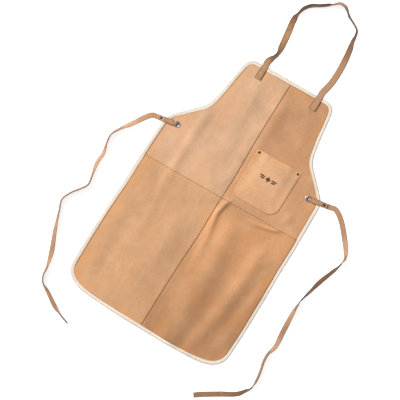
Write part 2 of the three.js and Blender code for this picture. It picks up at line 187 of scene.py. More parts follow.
def slab(top: np.ndarray, bottom: np.ndarray) -> tuple[np.ndarray, list]:
    """A closed slab between two grids of the same shape.

    Args:
        top: The upper face's points, (rows, columns, 3).
        bottom: The lower face's points, (rows, columns, 3).

    Returns:
        The points and the faces.
    """
    rows, columns = top.shape[:2]
    count = rows * columns
    index = np.arange(count).reshape(rows, columns)
    corners = [index[:-1, :-1], index[:-1, 1:], index[1:, 1:], index[1:, :-1]]
    quads = np.stack(corners, -1).reshape(-1, 4)
    rim = np.concatenate([index[0], index[1:, -1], index[-1, -2::-1], index[-2:0:-1, 0]])
    after = np.roll(rim, -1)
    walls = np.stack([rim, rim + count, after + count, after], -1)
    faces = np.concatenate([quads, quads[:, ::-1] + count, walls])
    points = np.concatenate([top.reshape(-1, 3), bottom.reshape(-1, 3)])
    return points, outwards(points, faces.tolist())


def tube(rings: np.ndarray, first: int = 0) -> tuple[np.ndarray, list]:
    """A closed tube through rings of points, with a flat cap at each end.

    Args:
        rings: The rings, (stations, points round, 3).
        first: The number of the tube's first point.

    Returns:
        The points and the faces.
    """
    stations, around = rings.shape[:2]
    index = np.arange(stations * around).reshape(stations, around)
    after = np.roll(index, -1, axis=1)
    quads = np.stack([index[:-1], after[:-1], after[1:], index[1:]], -1).reshape(-1, 4)
    caps = [index[0][::-1].tolist(), index[-1].tolist()]
    points = rings.reshape(-1, 3)
    faces = outwards(points, quads.tolist() + caps)
    return points, [[corner + first for corner in face] for face in faces]


def turned(profile: list[Pair], centre: np.ndarray, sides: int = 48) -> tuple[np.ndarray, list]:
    """A round piece about a vertical axis.

    Args:
        profile: A closed loop of (radius, height) points, or one that starts and ends on the axis.
        centre: The axis's place and the height that the profile's heights count from.
        sides: The number of sides.

    Returns:
        The points and the faces.
    """
    angles = np.linspace(0, 2 * math.pi, sides, endpoint=False)
    radii, heights = np.array(profile).T
    rings = np.empty((len(profile), sides, 3))
    rings[..., 0] = centre[0] + radii[:, None] * np.cos(angles)
    rings[..., 1] = centre[1] + radii[:, None] * np.sin(angles)
    rings[..., 2] = centre[2] + heights[:, None]
    index = np.arange(rings.shape[0] * sides).reshape(-1, sides)
    if radii[0] > 0:
        index = np.concatenate([index, index[:1]])
    after = np.roll(index, -1, axis=1)
    quads = np.stack([index[:-1], after[:-1], after[1:], index[1:]], -1).reshape(-1, 4)
    points = rings.reshape(-1, 3)
    return points, outwards(points, quads.tolist())


def baked(piece: bpy.types.Object, name: str) -> bpy.types.Object:
    """Turns a piece with live modifiers into a plain mesh piece.

    Args:
        piece: The piece, which is removed.
        name: The name of the plain piece.

    Returns:
        The plain piece.
    """
    bpy.context.view_layer.update()
    mesh = bpy.data.meshes.new_from_object(piece.evaluated_get(bpy.context.evaluated_depsgraph_get()))
    bpy.data.objects.remove(piece)
    mesh.name = name
    plain = bpy.data.objects.new(name, mesh)
    bpy.context.scene.collection.objects.link(plain)
    return plain


def cut_round_holes(piece: bpy.types.Object, places: list[np.ndarray], radius: float) -> bpy.types.Object:
    """Cuts upright round holes through a closed piece.

    Args:
        piece: The piece to cut.
        places: The holes' centres.
        radius: The holes' radius.

    Returns:
        The cut piece.
    """
    name = piece.name
    piece.name = f"{name}_uncut"
    deep = 30 * MM
    profile = [(0, -deep), (radius, -deep), (radius, deep), (0, deep)]
    drills = []
    for place in places:
        points, faces = turned(profile, place, sides=40)
        drill = make_piece(f"{name}_drill", points, faces, BRONZED)
        modifier = piece.modifiers.new("hole", "BOOLEAN")
        modifier.operation = "DIFFERENCE"
        modifier.solver = "EXACT"
        modifier.object = drill
        drills.append(drill)
    cut = baked(piece, name)
    for drill in drills:
        bpy.data.objects.remove(drill)
    return cut


# ---- Finishes -----------------------------------------------------------------------------------


def add_node(
    tree: bpy.types.NodeTree, kind: str, links: dict | None = None, **settings: object
) -> bpy.types.Node:
    """Adds a node to a tree.

    Args:
        tree: The material's or the modifier's node tree.
        kind: The node's type.
        links: Sockets or plain values, by the name or number of the input.
        settings: The node's own properties.

    Returns:
        The node.
    """
    node = tree.nodes.new(kind)
    for key, value in settings.items():
        setattr(node, key, value)
    for key, value in (links or {}).items():
        if isinstance(value, bpy.types.NodeSocket):
            tree.links.new(value, node.inputs[key])
        else:
            node.inputs[key].default_value = value
    return node


class Dye:
    """The node tree of one finish, with a short call for each node it needs."""

    def __init__(self, name: str) -> None:
        """Starts a material with a Principled shader."""
        self.material = bpy.data.materials.new(name)
        self.material.use_nodes = True
        self.tree = self.material.node_tree
        self.tree.nodes.clear()
        self.shader = self.add("ShaderNodeBsdfPrincipled")
        output = self.add("ShaderNodeOutputMaterial")
        self.tree.links.new(self.shader.outputs["BSDF"], output.inputs["Surface"])
        self.place = self.add("ShaderNodeTexCoord").outputs["Object"]

    def add(self, kind: str, links: dict | None = None, **settings: object) -> bpy.types.Node:
        """Adds a node to the finish's tree."""
        return add_node(self.tree, kind, links, **settings)

    def run(self) -> bpy.types.NodeSocket:
        """The vector "run" at each point. Each finish says what it holds."""
        return self.add("ShaderNodeAttribute", attribute_name="run").outputs["Vector"]

    def stretched(self, vector: bpy.types.NodeSocket, scale: Triple) -> bpy.types.NodeSocket:
        """The vector scaled along each axis."""
        return self.add("ShaderNodeMapping", {"Vector": vector, "Scale": scale}).outputs["Vector"]

    def noise(
        self,
        scale: float,
        detail: float = 3.0,
        vector: bpy.types.NodeSocket | None = None,
        rough: float = 0.55,
    ) -> bpy.types.NodeSocket:
        """Noise from 0 to 1, with a feature about every 1/scale metres."""
        links = {"Vector": vector or self.place, "Scale": scale, "Detail": detail, "Roughness": rough}
        return self.add("ShaderNodeTexNoise", links).outputs["Fac"]

    def maths(self, operation: str, a: object, b: object) -> bpy.types.NodeSocket:
        """One sum on two numbers."""
        return self.add("ShaderNodeMath", {0: a, 1: b}, operation=operation).outputs[0]

    def grey(self, tone: bpy.types.NodeSocket) -> bpy.types.NodeSocket:
        """The grey of a tone."""
        return self.add("ShaderNodeCombineColor", {0: tone, 1: tone, 2: tone}).outputs[0]

    def between(
        self, value: bpy.types.NodeSocket, low: float, high: float, to: Pair = (0, 1)
    ) -> bpy.types.NodeSocket:
        """Takes a value to a new range, smoothly.

        Args:
            value: The value's socket.
            low: The value that becomes the range's first number.
            high: The value that becomes its second number.
            to: The new range.

        Returns:
            The new value's socket.
        """
        links = {"Value": value, "From Min": low, "From Max": high, "To Min": to[0], "To Max": to[1]}
        return self.add("ShaderNodeMapRange", links, interpolation_type="SMOOTHSTEP").outputs["Result"]

    def mixed(self, share: object, a: object, b: object, blend: str = "MIX") -> bpy.types.NodeSocket:
        """Mixes two colours.

        Args:
            share: How much of the second colour there is, as a number or its socket.
            a: The first colour or its socket.
            b: The second colour or its socket.
            blend: The way they mix.

        Returns:
            The mixed colour's socket.
        """
        node = self.add("ShaderNodeMix", {0: share}, data_type="RGBA", blend_type=blend)
        for number, value in ((6, a), (7, b)):
            if isinstance(value, bpy.types.NodeSocket):
                self.tree.links.new(value, node.inputs[number])
            else:
                node.inputs[number].default_value = (*value, 1.0)
        return node.outputs[2]

    def bumped(
        self,
        height: bpy.types.NodeSocket,
        depth: float,
        strength: float,
        under: bpy.types.NodeSocket | None = None,
    ) -> bpy.types.NodeSocket:
        """Roughens the surface.

        Args:
            height: The height, from 0 to 1.
            depth: How deep the full height is, in metres.
            strength: How strongly it shows.
            under: The normal of another bump below it, or None.

        Returns:
            The new normal.
        """
        links = {"Height": height, "Distance": depth, "Strength": strength}
        if under is not None:
            links["Normal"] = under
        return self.add("ShaderNodeBump", links).outputs["Normal"]

    def wear(
        self, colour: object, roughness: object, normal: bpy.types.NodeSocket | None, **fixed: object
    ) -> bpy.types.Material:
        """Joins the colour, roughness and normal to the shader.

        Args:
            colour: A colour or its socket.
            roughness: A number or its socket.
            normal: The normal's socket, or None for a plain surface.
            fixed: The shader's own constant values, by socket name with _ for a space.

        Returns:
            The finished material.
        """
        for key, value in (("Base Color", colour), ("Roughness", roughness), ("Normal", normal)):
            if isinstance(value, bpy.types.NodeSocket):
                self.tree.links.new(value, self.shader.inputs[key])
            elif value is not None:
                self.shader.inputs[key].default_value = (*value, 1.0) if isinstance(value, tuple) else value
        for key, value in fixed.items():
            self.shader.inputs[key.replace("_", " ")].default_value = value
        return self.material


@dataclass(frozen=True)
class Finish:
    """One finish that pieces wear. Colours are linear."""

    name: str
    colour: Colour

    def material(self) -> bpy.types.Material:
        """The finish's material, made the first time it is asked for."""
        return bpy.data.materials.get(self.name) or self.dye()

    def dye(self) -> bpy.types.Material:
        """Builds the material."""
        raise NotImplementedError

    def shade(self, share: float) -> Colour:
        """The finish's colour made darker or lighter by a share."""
        return tuple(min(1.0, c * share) for c in self.colour)


@dataclass(frozen=True)
class SplitLeather(Finish):
    """Natural split leather: a matt nap, cloudy colour, drag marks, and painted shade in its seams and beside
    the edge tape.

    It follows "run": the distances from the centre seam, the waist seam and the outer edge. The fade
    says how much paler than its mean the hide is at the waist seam.
    """

    cloud: float = 0.2
    nap: float = 0.9
    oil: float = 0.6
    # The colour of the painted shade in the seam grooves.
    creases: Colour = (0.17, 0.068, 0.026)
    fade: float = 0.0

    def dye(self) -> bpy.types.Material:
        """Builds the leather."""
        dye = Dye(self.name)
        colour = self.creased(dye, self.clouds(dye))
        roughness = dye.between(dye.noise(160, 2), 0.2, 0.8, (0.82, 0.96))
        sheen = {"Sheen_Weight": 0.1, "Sheen_Roughness": 0.5}
        return dye.wear(colour, roughness, self.grain(dye), Specular_IOR_Level=0.25, **sheen)

    def clouds(self, dye: Dye) -> bpy.types.NodeSocket:
        """The cloudy colour of the hide."""
        broad = dye.between(dye.noise(6.5, 3), 0.3, 0.7)
        colour = dye.mixed(broad, self.shade(1 - self.cloud * 0.6), self.shade(1 + self.cloud * 0.35))
        patches = dye.between(dye.noise(34, 5, rough=0.66), 0.36, 0.66)
        colour = dye.mixed(1.0, colour, dye.mixed(patches, (0.945, 0.922, 0.90), (1.0, 1.0, 1.0)), "MULTIPLY")
        oiled = dye.between(dye.noise(9, 4, rough=0.65), 0.46, 0.72)
        colour = dye.mixed(dye.maths("MULTIPLY", oiled, self.oil), colour, self.oiled())
        drag = dye.between(dye.noise(48, 4, dye.stretched(dye.place, (1.0, 0.14, 1.0))), 0.5, 0.8)
        colour = dye.mixed(dye.maths("MULTIPLY", drag, 0.4), colour, self.shade(1.17))
        scars = dye.between(dye.noise(70, 2, dye.stretched(dye.place, (0.5, 1.0, 1.0)), rough=0.8), 0.66, 0.8)
        colour = dye.mixed(dye.maths("MULTIPLY", scars, 0.3), colour, self.shade(0.68))
        fleck = dye.between(dye.noise(260, 4, rough=0.7), 0.3, 0.7, (0.915, 1.06))
        fine = dye.between(dye.noise(1100, 2), 0.3, 0.62, (0.9, 1.0))
        return dye.mixed(self.nap, colour, dye.grey(dye.maths("MULTIPLY", fleck, fine)), "MULTIPLY")

    def oiled(self) -> Colour:
        """The stronger orange of the hide where it is oilier."""
        red, green, blue = self.colour
        return (red * 1.02, green * 0.88, blue * 0.70)

    def creased(self, dye: Dye, colour: bpy.types.NodeSocket) -> bpy.types.NodeSocket:
        """The colour, with painted shade in the seams and a painted shadow beside the edge tape, and oilier
        near the tape.
        """
        parts = dye.add("ShaderNodeSeparateXYZ", {0: dye.run()})
        fade = dye.between(parts.outputs[1], 0.0, 0.5, (1 + self.fade, 1 - self.fade))
        colour = dye.mixed(1.0, colour, dye.grey(fade), "MULTIPLY")
        margin = dye.between(parts.outputs[2], 4 * MM, 50 * MM, (0.75, 0.0))
        margin = dye.maths("MULTIPLY", margin, dye.between(dye.noise(13, 3), 0.38, 0.6))
        colour = dye.mixed(margin, colour, self.oiled())
        # Painted shadow on the leather along the edge tape's inner edge.
        pressed = dye.between(parts.outputs[2], 13 * MM, 17 * MM, (0.7, 0.0))
        colour = dye.mixed(pressed, colour, self.shade(0.42))
        # Painted shade in the grooves of the centre seam and the waist seam.
        for number, depth in ((0, 0.85), (1, 0.4)):
            crease = dye.between(parts.outputs[number], 0.2 * MM, 1.7 * MM, (depth, 0.0))
            colour = dye.mixed(crease, colour, self.creases)
        return colour

    def grain(self, dye: Dye) -> bpy.types.NodeSocket:
        """The nap, the wrinkles and the soft dents."""
        dents = dye.bumped(dye.noise(38, 4, rough=0.62), 1.6 * MM, 0.55)
        lines = dye.noise(150, 5, dye.stretched(dye.place, (1.0, 0.6, 1.0)), rough=0.7)
        wrinkles = dye.bumped(lines, 0.4 * MM, 0.5, dents)
        fibres = dye.noise(800, 4, dye.stretched(dye.place, (1.0, 0.5, 1.0)), rough=0.75)
        return dye.bumped(fibres, 0.28 * MM, 0.8, wrinkles)


@dataclass(frozen=True)
class PrintedLeather(SplitLeather):
    """Split leather with a small dark print: a four-pointed spark between plain bars."""

    ink: Colour = (0.035, 0.022, 0.016)
    middle: Pair = (0.0, 0.0)

    def clouds(self, dye: Dye) -> bpy.types.NodeSocket:
        """The hide's colour with the print on it."""
        colour = super().clouds(dye)
        mark, *others = [self.oval(dye, offset, radii) for offset, radii in self.marks()]
        for other in others:
            mark = dye.maths("MAXIMUM", mark, other)
        worn = dye.between(dye.noise(420, 3), 0.25, 0.42, (0.6, 0.95))
        return dye.mixed(dye.maths("MULTIPLY", mark, worn), colour, self.ink)

    def marks(self) -> list[tuple[Pair, Pair]]:
        """The print's ovals, as (offset from the print's middle, radii) in metres."""
        spark = [((0, 0), (5.6, 5.6)), ((0, 0), (3.0, 10.0)), ((0, 0), (10.0, 3.0))]
        for x in (-1, 1):
            spark.append(((x * 22.0, 3.3), (10.5, 2.5)))
            spark.append(((x * 20.0, -3.3), (8.0, 2.5)))
        return [((x * MM, y * MM), (a * MM, b * MM)) for (x, y), (a, b) in spark]

    def oval(self, dye: Dye, offset: Pair, radii: Pair) -> bpy.types.NodeSocket:
        """One inked oval.

        Args:
            dye: The finish's node tree.
            offset: From the print's middle to the oval's.
            radii: The oval's half width and half height.

        Returns:
            A socket that is 1 inside and 0 outside, with a soft edge.
        """
        centre = (self.middle[0] + offset[0], self.middle[1] + offset[1], 0.0)
        away = dye.add("ShaderNodeVectorMath", {0: dye.place, 1: centre}, operation="SUBTRACT").outputs[0]
        scale = (1 / radii[0], 1 / radii[1], 0.0)
        away = dye.add("ShaderNodeVectorMath", {0: away, 1: scale}, operation="MULTIPLY").outputs[0]
        reach = dye.add("ShaderNodeVectorMath", {0: away}, operation="LENGTH").outputs["Value"]
        return dye.between(reach, 0.94, 1.04, (1, 0))


@dataclass(frozen=True)
class StrapLeather(Finish):
    """Cut strap leather: a smooth tan face, a slightly darker fleshy back and dark raw edges.

    It follows "run", the distances along and across, and "wear", which says how near a point is to the
    edge, how much painted shade and soil darken it there, and which face it is on.
    """

    back: Colour = (0.485, 0.262, 0.139)
    edge: Colour = (0.05, 0.027, 0.016)

    def dye(self) -> bpy.types.Material:
        """Builds the strap leather."""
        dye = Dye(self.name)
        run = dye.run()
        wear = dye.add("ShaderNodeAttribute", attribute_name="wear").outputs["Vector"]
        parts = dye.add("ShaderNodeSeparateXYZ", {0: wear})
        streaks = dye.between(dye.noise(330, 4, dye.stretched(run, (0.1, 1.0, 1.0)), rough=0.65), 0.3, 0.72)
        face = dye.mixed(streaks, self.shade(0.86), self.shade(1.13))
        blotches = dye.between(dye.noise(60, 4, rough=0.65), 0.34, 0.7)
        face = dye.mixed(1.0, face, dye.mixed(blotches, (0.84, 0.80, 0.77), (1.04, 1.03, 1.02)), "MULTIPLY")
        fuzz = dye.between(dye.noise(900, 3, dye.stretched(run, (0.4, 1.0, 1.0))), 0.3, 0.7)
        flesh = dye.mixed(fuzz, tuple(c * 0.82 for c in self.back), tuple(c * 1.15 for c in self.back))
        colour = dye.mixed(dye.between(parts.outputs[2], 0.35, -0.35), face, flesh)
        uneven = dye.between(dye.noise(90, 3), 0.2, 0.6, (0.75, 1.0))
        # Painted shade where the strap stands on edge or turns inside an eyelet, and soil on a soiled strap,
        # darken it towards the edge colour.
        colour = dye.mixed(dye.maths("MULTIPLY", parts.outputs[1], uneven), colour, self.edge)
        rim = dye.between(parts.outputs[0], 0.74, 0.97, (0.0, 0.94))
        colour = dye.mixed(rim, colour, self.edge)
        pores = dye.bumped(dye.noise(620, 3, rough=0.65), 0.18 * MM, 0.8)
        creases = dye.noise(110, 3, dye.stretched(run, (1.0, 0.35, 1.0)))
        normal = dye.bumped(creases, 0.6 * MM, 0.5, pores)
        roughness = dye.between(dye.noise(90, 2), 0.2, 0.8, (0.55, 0.78))
        return dye.wear(colour, roughness, normal, Specular_IOR_Level=0.4)


@dataclass(frozen=True)
class CottonTape(Finish):
    """Woven cotton tape: twill ribs, with painted shade in the hollows of the weave and at its fold and inner
    edge.

    It follows "run": the distances along the tape and inwards from its fold. The second is negative on
    the tape's lower leg.
    """

    rib: float = 1.25 * MM
    # The colour of the painted shade at the tape's fold and inner edge.
    soil: Colour = (0.57, 0.525, 0.47)

    def dye(self) -> bpy.types.Material:
        """Builds the tape."""
        dye = Dye(self.name)
        run = dye.run()
        parts = dye.add("ShaderNodeSeparateXYZ", {0: run})
        ribs = self.threads(dye, run, 58, self.rib)
        cross = self.threads(dye, run, -32, self.rib * 0.62)
        weave = dye.maths("ADD", dye.maths("MULTIPLY", ribs, 0.7), dye.maths("MULTIPLY", cross, 0.3))
        patches = dye.between(dye.noise(24, 4, rough=0.65), 0.35, 0.75, (0.0, 0.5))
        colour = dye.mixed(patches, self.colour, self.shade(0.86))
        # Painted shade in the hollows of the weave.
        hollow_shade = dye.maths("MULTIPLY", dye.maths("SUBTRACT", 1.0, weave), 0.4)
        colour = dye.mixed(hollow_shade, colour, self.shade(0.5))
        inward = parts.outputs[1]
        # Painted shade along the tape's outer fold, with a wandering edge.
        wander = dye.between(dye.noise(120, 3), 0.2, 0.8, (-1.2 * MM, 1.2 * MM))
        fold = dye.between(dye.maths("ADD", inward, wander), 0.9 * MM, 6.6 * MM, (0.95, 0.0))
        colour = dye.mixed(fold, colour, self.soil)
        # Painted shadow along the tape's inner edge, where it meets the leather.
        selvedge_shade = dye.between(inward, 12.0 * MM, 13.2 * MM, (0.0, 0.75))
        colour = dye.mixed(selvedge_shade, colour, self.soil)
        lint = dye.bumped(dye.noise(1500, 2), 0.12 * MM, 0.6)
        normal = dye.bumped(weave, 0.3 * MM, 0.8, lint)
        return dye.wear(colour, 0.94, normal, Sheen_Weight=0.15, Sheen_Roughness=0.4)

    def threads(
        self, dye: Dye, run: bpy.types.NodeSocket, slant: float, pitch: float
    ) -> bpy.types.NodeSocket:
        """One set of slanted threads.

        Args:
            dye: The finish's node tree.
            run: The vector along and across the tape.
            slant: The threads' turn in degrees.
            pitch: From one thread to the next.

        Returns:
            A socket that goes from 0 in the hollows to 1 on top.
        """
        turn = (0, 0, math.radians(slant))
        slanted = dye.add("ShaderNodeMapping", {"Vector": run, "Rotation": turn}).outputs["Vector"]
        links = {"Vector": slanted, "Scale": 0.314 / pitch, "Distortion": 0.5, "Detail": 1.0}
        return dye.add("ShaderNodeTexWave", links, bands_direction="X").outputs["Fac"]


@dataclass(frozen=True)
class SewingThread(Finish):
    """Twisted sewing thread."""

    twist: float = 0.55 * MM

    def dye(self) -> bpy.types.Material:
        """Builds the thread."""
        dye = Dye(self.name)
        links = {"Scale": 1 / self.twist, "Distortion": 1.5, "Vector": dye.place}
        plies = dye.add("ShaderNodeTexWave", links, bands_direction="DIAGONAL").outputs["Fac"]
        colour = dye.mixed(plies, self.shade(0.7), self.shade(1.1))
        return dye.wear(colour, 0.7, dye.bumped(plies, 0.1 * MM, 0.8), Specular_IOR_Level=0.4)


@dataclass(frozen=True)
class PlatedMetal(Finish):
    """Plated or bronzed metal with fine scuffs and a dulled patina."""

    dull: float = 0.2
    scuff: float = 0.25
    grime: float = 320.0

    def dye(self) -> bpy.types.Material:
        """Builds the metal."""
        dye = Dye(self.name)
        tarnish = dye.between(dye.noise(self.grime, 4), 0.35, 0.8)
        colour = dye.mixed(tarnish, self.colour, self.shade(0.66))
        scratches = dye.noise(500, 2, dye.stretched(dye.place, (8.0, 1.0, 1.0)))
        roughness = dye.between(scratches, 0.3, 0.7, (self.dull, self.dull + self.scuff))
        normal = dye.bumped(scratches, 0.03 * MM, 0.5)
        return dye.wear(colour, roughness, normal, Metallic=1.0)


@dataclass(frozen=True)
class StudioPaper(Finish):
    """The plain pale floor, which glows a little so that it stays white beside the straps."""

    glow: float = 0.62

    def dye(self) -> bpy.types.Material:
        """Builds the paper."""
        dye = Dye(self.name)
        tone = dye.mixed(dye.noise(3, 2), self.colour, self.shade(0.995))
        glow = {"Emission_Color": (1.0, 0.995, 0.985, 1.0), "Emission_Strength": self.glow}
        return dye.wear(tone, 0.9, None, Specular_IOR_Level=0.1, **glow)


PRINT_MIDDLE = (0.1005, 0.1553)
PANEL_FINISHES = {
    (Half.BIB, Side.LEFT): SplitLeather("leather_pale", (0.70, 0.426, 0.257)),
    (Half.BIB, Side.RIGHT): SplitLeather("leather_tan", (0.618, 0.334, 0.174), fade=0.09),
    (Half.SKIRT, Side.LEFT): SplitLeather("leather_warm", (0.672, 0.379, 0.20), oil=0.75),
    (Half.SKIRT, Side.RIGHT): SplitLeather("leather_deep", (0.582, 0.303, 0.149), fade=0.13),
}
POCKET_LEATHER = PrintedLeather("leather_pocket", (0.745, 0.425, 0.233), middle=PRINT_MIDDLE)
STRAP_LEATHER = StrapLeather("leather_strap", (0.495, 0.27, 0.143))
TAPE = CottonTape("woven_tape", (0.98, 0.84, 0.69))
TAPE_THREAD = SewingThread("thread_cream", (0.80, 0.68, 0.50))
TAN_THREAD = SewingThread("thread_tan", (0.44, 0.25, 0.125))
SEAM_THREAD = SewingThread("thread_brown", (0.20, 0.105, 0.052))
NICKEL = PlatedMetal("nickel", (0.66, 0.63, 0.585), dull=0.16, grime=900)
BRONZED = PlatedMetal("bronzed", (0.085, 0.05, 0.032), dull=0.34)
PAPER = StudioPaper("studio_paper", (1.0, 1.0, 1.0))


# ---- Studio -------------------------------------------------------------------------------------


@dataclass
class Studio:
    """The camera above the apron, one soft key light, an even surround and the pale floor."""

    aim: Triple = (-0.0524, -0.0176, 0.0)
    turn: float = 31.9
    height: float = 4.0
    field: float = 1.304
    key_place: Triple = (-8.2, 1.9, 5.6)
    key_power: float = 1400.0
    key_size: float = 4.6
    sky: float = 0.40
    floor_size: float = 9.0

    def build(self) -> None:
        """Makes the camera, the light, the surround and the floor."""
        self.camera()
        self.light("key", self.key_place, self.key_power, self.key_size)
        self.surroundings()
        self.floor()

    def camera(self) -> None:
        """Puts the camera straight above the apron, turned so that the bib points up and to the right."""
        data = bpy.data.cameras.new("camera")
        data.lens = data.sensor_width * self.height / self.field
        camera = bpy.data.objects.new("camera", data)
        camera.location = (self.aim[0], self.aim[1], self.height)
        camera.rotation_euler = (0, 0, math.radians(self.turn))
        bpy.context.scene.collection.objects.link(camera)
        bpy.context.scene.camera = camera

    def light(self, name: str, place: Triple, power: float, size: float) -> None:
        """Adds one square soft light that faces the apron.

        Args:
            name: The light's name.
            place: Where it stands.
            power: Its power in watts.
            size: The length of its side.
        """
        data = bpy.data.lights.new(name, "AREA")
        data.energy = power
        data.size = size
        lamp = bpy.data.objects.new(name, data)
        lamp.location = place
        lamp.rotation_euler = (Vector(self.aim) - Vector(place)).to_track_quat("-Z", "Y").to_euler()
        bpy.context.scene.collection.objects.link(lamp)

    def surroundings(self) -> None:
        """A white surround, full bright to the camera and dimmer as a light, and plain colours."""
        world = bpy.data.worlds.new("studio")
        world.use_nodes = True
        tree = world.node_tree
        background = tree.nodes["Background"]
        background.inputs["Color"].default_value = (1.0, 0.995, 0.985, 1.0)
        seen = tree.nodes.new("ShaderNodeMapRange")
        seen.inputs["To Min"].default_value = self.sky
        tree.links.new(tree.nodes.new("ShaderNodeLightPath").outputs["Is Camera Ray"], seen.inputs["Value"])
        tree.links.new(seen.outputs["Result"], background.inputs["Strength"])
        bpy.context.scene.world = world
        bpy.context.scene.view_settings.view_transform = "Standard"

    def floor(self) -> None:
        """The floor, just under the apron."""
        reach, low, deep = self.floor_size / 2, -0.3 * MM, 10 * MM
        profile = [(0, low - deep), (reach, low - deep), (reach, low), (0, low)]
        points, faces = turned(profile, np.zeros(3), sides=64)
        make_piece("studio_floor", points, faces, PAPER)


# ---- The pattern and how it lies ----------------------------------------------------------------


@dataclass(frozen=True)
class Ridge:
    """A long soft fold in the laid leather.

    Its crest is a line of (x, y, half width, height) points of the pattern.
    """

    crest: tuple[Station, ...]

    def rise(self, x: np.ndarray, y: np.ndarray) -> np.ndarray:
        """How far the fold lifts the leather at points of the pattern."""
        best = np.full(x.shape, np.inf)
        found = np.zeros(x.shape)
        for start, end in zip(self.crest[:-1], self.crest[1:]):
            ax, ay, wide, high = start
            dx, dy = end[0] - ax, end[1] - ay
            t = np.clip(((x - ax) * dx + (y - ay) * dy) / (dx * dx + dy * dy), 0, 1)
            away = np.hypot(x - ax - t * dx, y - ay - t * dy)
            half = wide + (end[2] - wide) * t
            value = (high + (end[3] - high) * smooth(t)) * np.exp(-((away / half) ** 2))
            found = np.where(away < best, value, found)
            best = np.minimum(best, away)
        return found


@dataclass
class Pattern:
    """The flat pattern of the apron, and how it lies on the floor.

    Each pin is an (x, y, reach) place where something holds the leather flat.
    """

    waist: float = 0.0285
    hem: float = -0.474
    top: float = 0.472
    eyelet_y: float = 0.1655
    lay_above: float = 0.04
    lay_hem: float = 0.01
    seam_gap: float = 0.4 * MM
    waist_gap: float = 0.12 * MM
    allowance: float = 13 * MM
    seam_drift: float = 4.5 * MM
    pucker: float = 0.28 * MM
    pucker_pitch: float = 12 * MM
    ridges: tuple[Ridge, ...] = (
        Ridge(((-0.178, 0.27, 0.014, 0), (-0.183, 0.22, 0.017, 3.2 * MM), (-0.183, 0.06, 0.017, 3.0 * MM),
               (-0.18, -0.03, 0.016, 1.0 * MM), (-0.168, -0.12, 0.014, 1.7 * MM), (-0.165, -0.25, 0.014, 0))),
        Ridge(((0.016, 0.44, 0.018, 0), (0.017, 0.37, 0.024, 3.6 * MM), (0.016, 0.25, 0.022, 3.2 * MM),
               (0.012, 0.16, 0.016, 0))),
        Ridge(((-0.018, 0.33, 0.018, 0), (-0.017, 0.25, 0.017, 2.0 * MM), (-0.015, 0.10, 0.015, 1.8 * MM),
               (-0.02, 0.04, 0.014, 0))),
        Ridge(((0.036, 0.044, 0.010, 0), (0.022, 0.018, 0.010, 6.2 * MM), (0.014, -0.02, 0.010, 6.4 * MM),
               (0.022, -0.08, 0.013, 4.4 * MM), (0.036, -0.16, 0.018, 2.6 * MM), (0.05, -0.26, 0.022, 0))),
        Ridge(((0.075, 0.0, 0.03, 0), (0.083, -0.07, 0.034, 7.0 * MM), (0.09, -0.15, 0.042, 9.6 * MM),
               (0.098, -0.28, 0.045, 10.4 * MM), (0.104, -0.40, 0.043, 9.6 * MM),
               (0.106, -0.47, 0.04, 6.0 * MM))),
        Ridge(((0.205, -0.03, 0.02, 0), (0.208, -0.10, 0.025, 6.0 * MM), (0.206, -0.20, 0.028, 7.6 * MM),
               (0.196, -0.30, 0.028, 7.2 * MM), (0.178, -0.40, 0.026, 5.0 * MM),
               (0.165, -0.47, 0.02, 2.0 * MM))),
        Ridge(((0.268, -0.13, 0.016, 0), (0.27, -0.20, 0.018, 2.6 * MM), (0.262, -0.35, 0.02, 2.6 * MM),
               (0.24, -0.44, 0.02, 0))),
        Ridge(((-0.10, -0.02, 0.04, 0), (-0.085, -0.12, 0.05, 3.0 * MM), (-0.07, -0.30, 0.05, 3.6 * MM),
               (-0.07, -0.46, 0.05, 2.0 * MM))),
        Ridge(((-0.25, -0.10, 0.02, 0), (-0.252, -0.20, 0.026, 2.4 * MM), (-0.24, -0.36, 0.026, 2.0 * MM),
               (-0.22, -0.44, 0.02, 0))),
        Ridge(((0.10, 0.008, 0.007, 0), (0.15, 0.008, 0.0065, 3.6 * MM), (0.20, 0.018, 0.0065, 4.6 * MM),
               (0.235, 0.03, 0.009, 0))),
        Ridge(((0.235, 0.115, 0.012, 0), (0.225, 0.08, 0.016, 2.4 * MM), (0.215, 0.04, 0.014, 0))),
        Ridge(((-0.095, 0.455, 0.02, 0), (-0.085, 0.38, 0.03, 2.6 * MM), (-0.075, 0.24, 0.03, 2.2 * MM),
               (-0.07, 0.12, 0.03, 0))),
        Ridge(((0.115, 0.42, 0.02, 0), (0.12, 0.34, 0.028, 2.6 * MM), (0.135, 0.26, 0.024, 0))),
    )
    pins: tuple[tuple[float, float, float], ...] = (
        (-0.246, 0.1655, 0.03),
        (0.246, 0.1655, 0.03),
        (-0.286, 0.159, 0.022),
        (0.286, 0.174, 0.022),
        (-0.262, 0.192, 0.03),
        (0.264, 0.198, 0.03),
        (-0.102, 0.474, 0.03),
        (0.102, 0.474, 0.03),
    )

    def __post_init__(self) -> None:
        """Finds where the pattern's origin lies in the row frame, from the eyelets."""
        left, right = centre_of("left_eyelet"), centre_of("right_eyelet")
        self.shift = (left + right)[:2] / 2 - np.array([0.0, self.eyelet_y])

    def lean(self, y: np.ndarray) -> np.ndarray:
        """How far the laid apron leans, for each metre across, at a height of the pattern."""
        down = np.clip((self.waist - y) / (self.waist - self.hem), 0, 1)
        return self.lay_above + (self.lay_hem - self.lay_above) * down

    def lift(self, x: np.ndarray, y: np.ndarray) -> np.ndarray:
        """How far the leather rises off its flat place."""
        swell = 0.55 * MM * (2 + np.sin(19 * x + 11 * y + 0.6) + np.sin(-13 * x + 17 * y + 2.1))
        swell += 0.22 * MM * (1 + np.sin(41 * x - 23 * y) * np.sin(29 * y + 17 * x + 1.0))
        total = swell + sum(ridge.rise(x, y) for ridge in self.ridges)
        for px, py, reach in self.pins:
            total = total * (1 - np.exp(-(((x - px) ** 2 + (y - py) ** 2) / reach**2)))
        return total

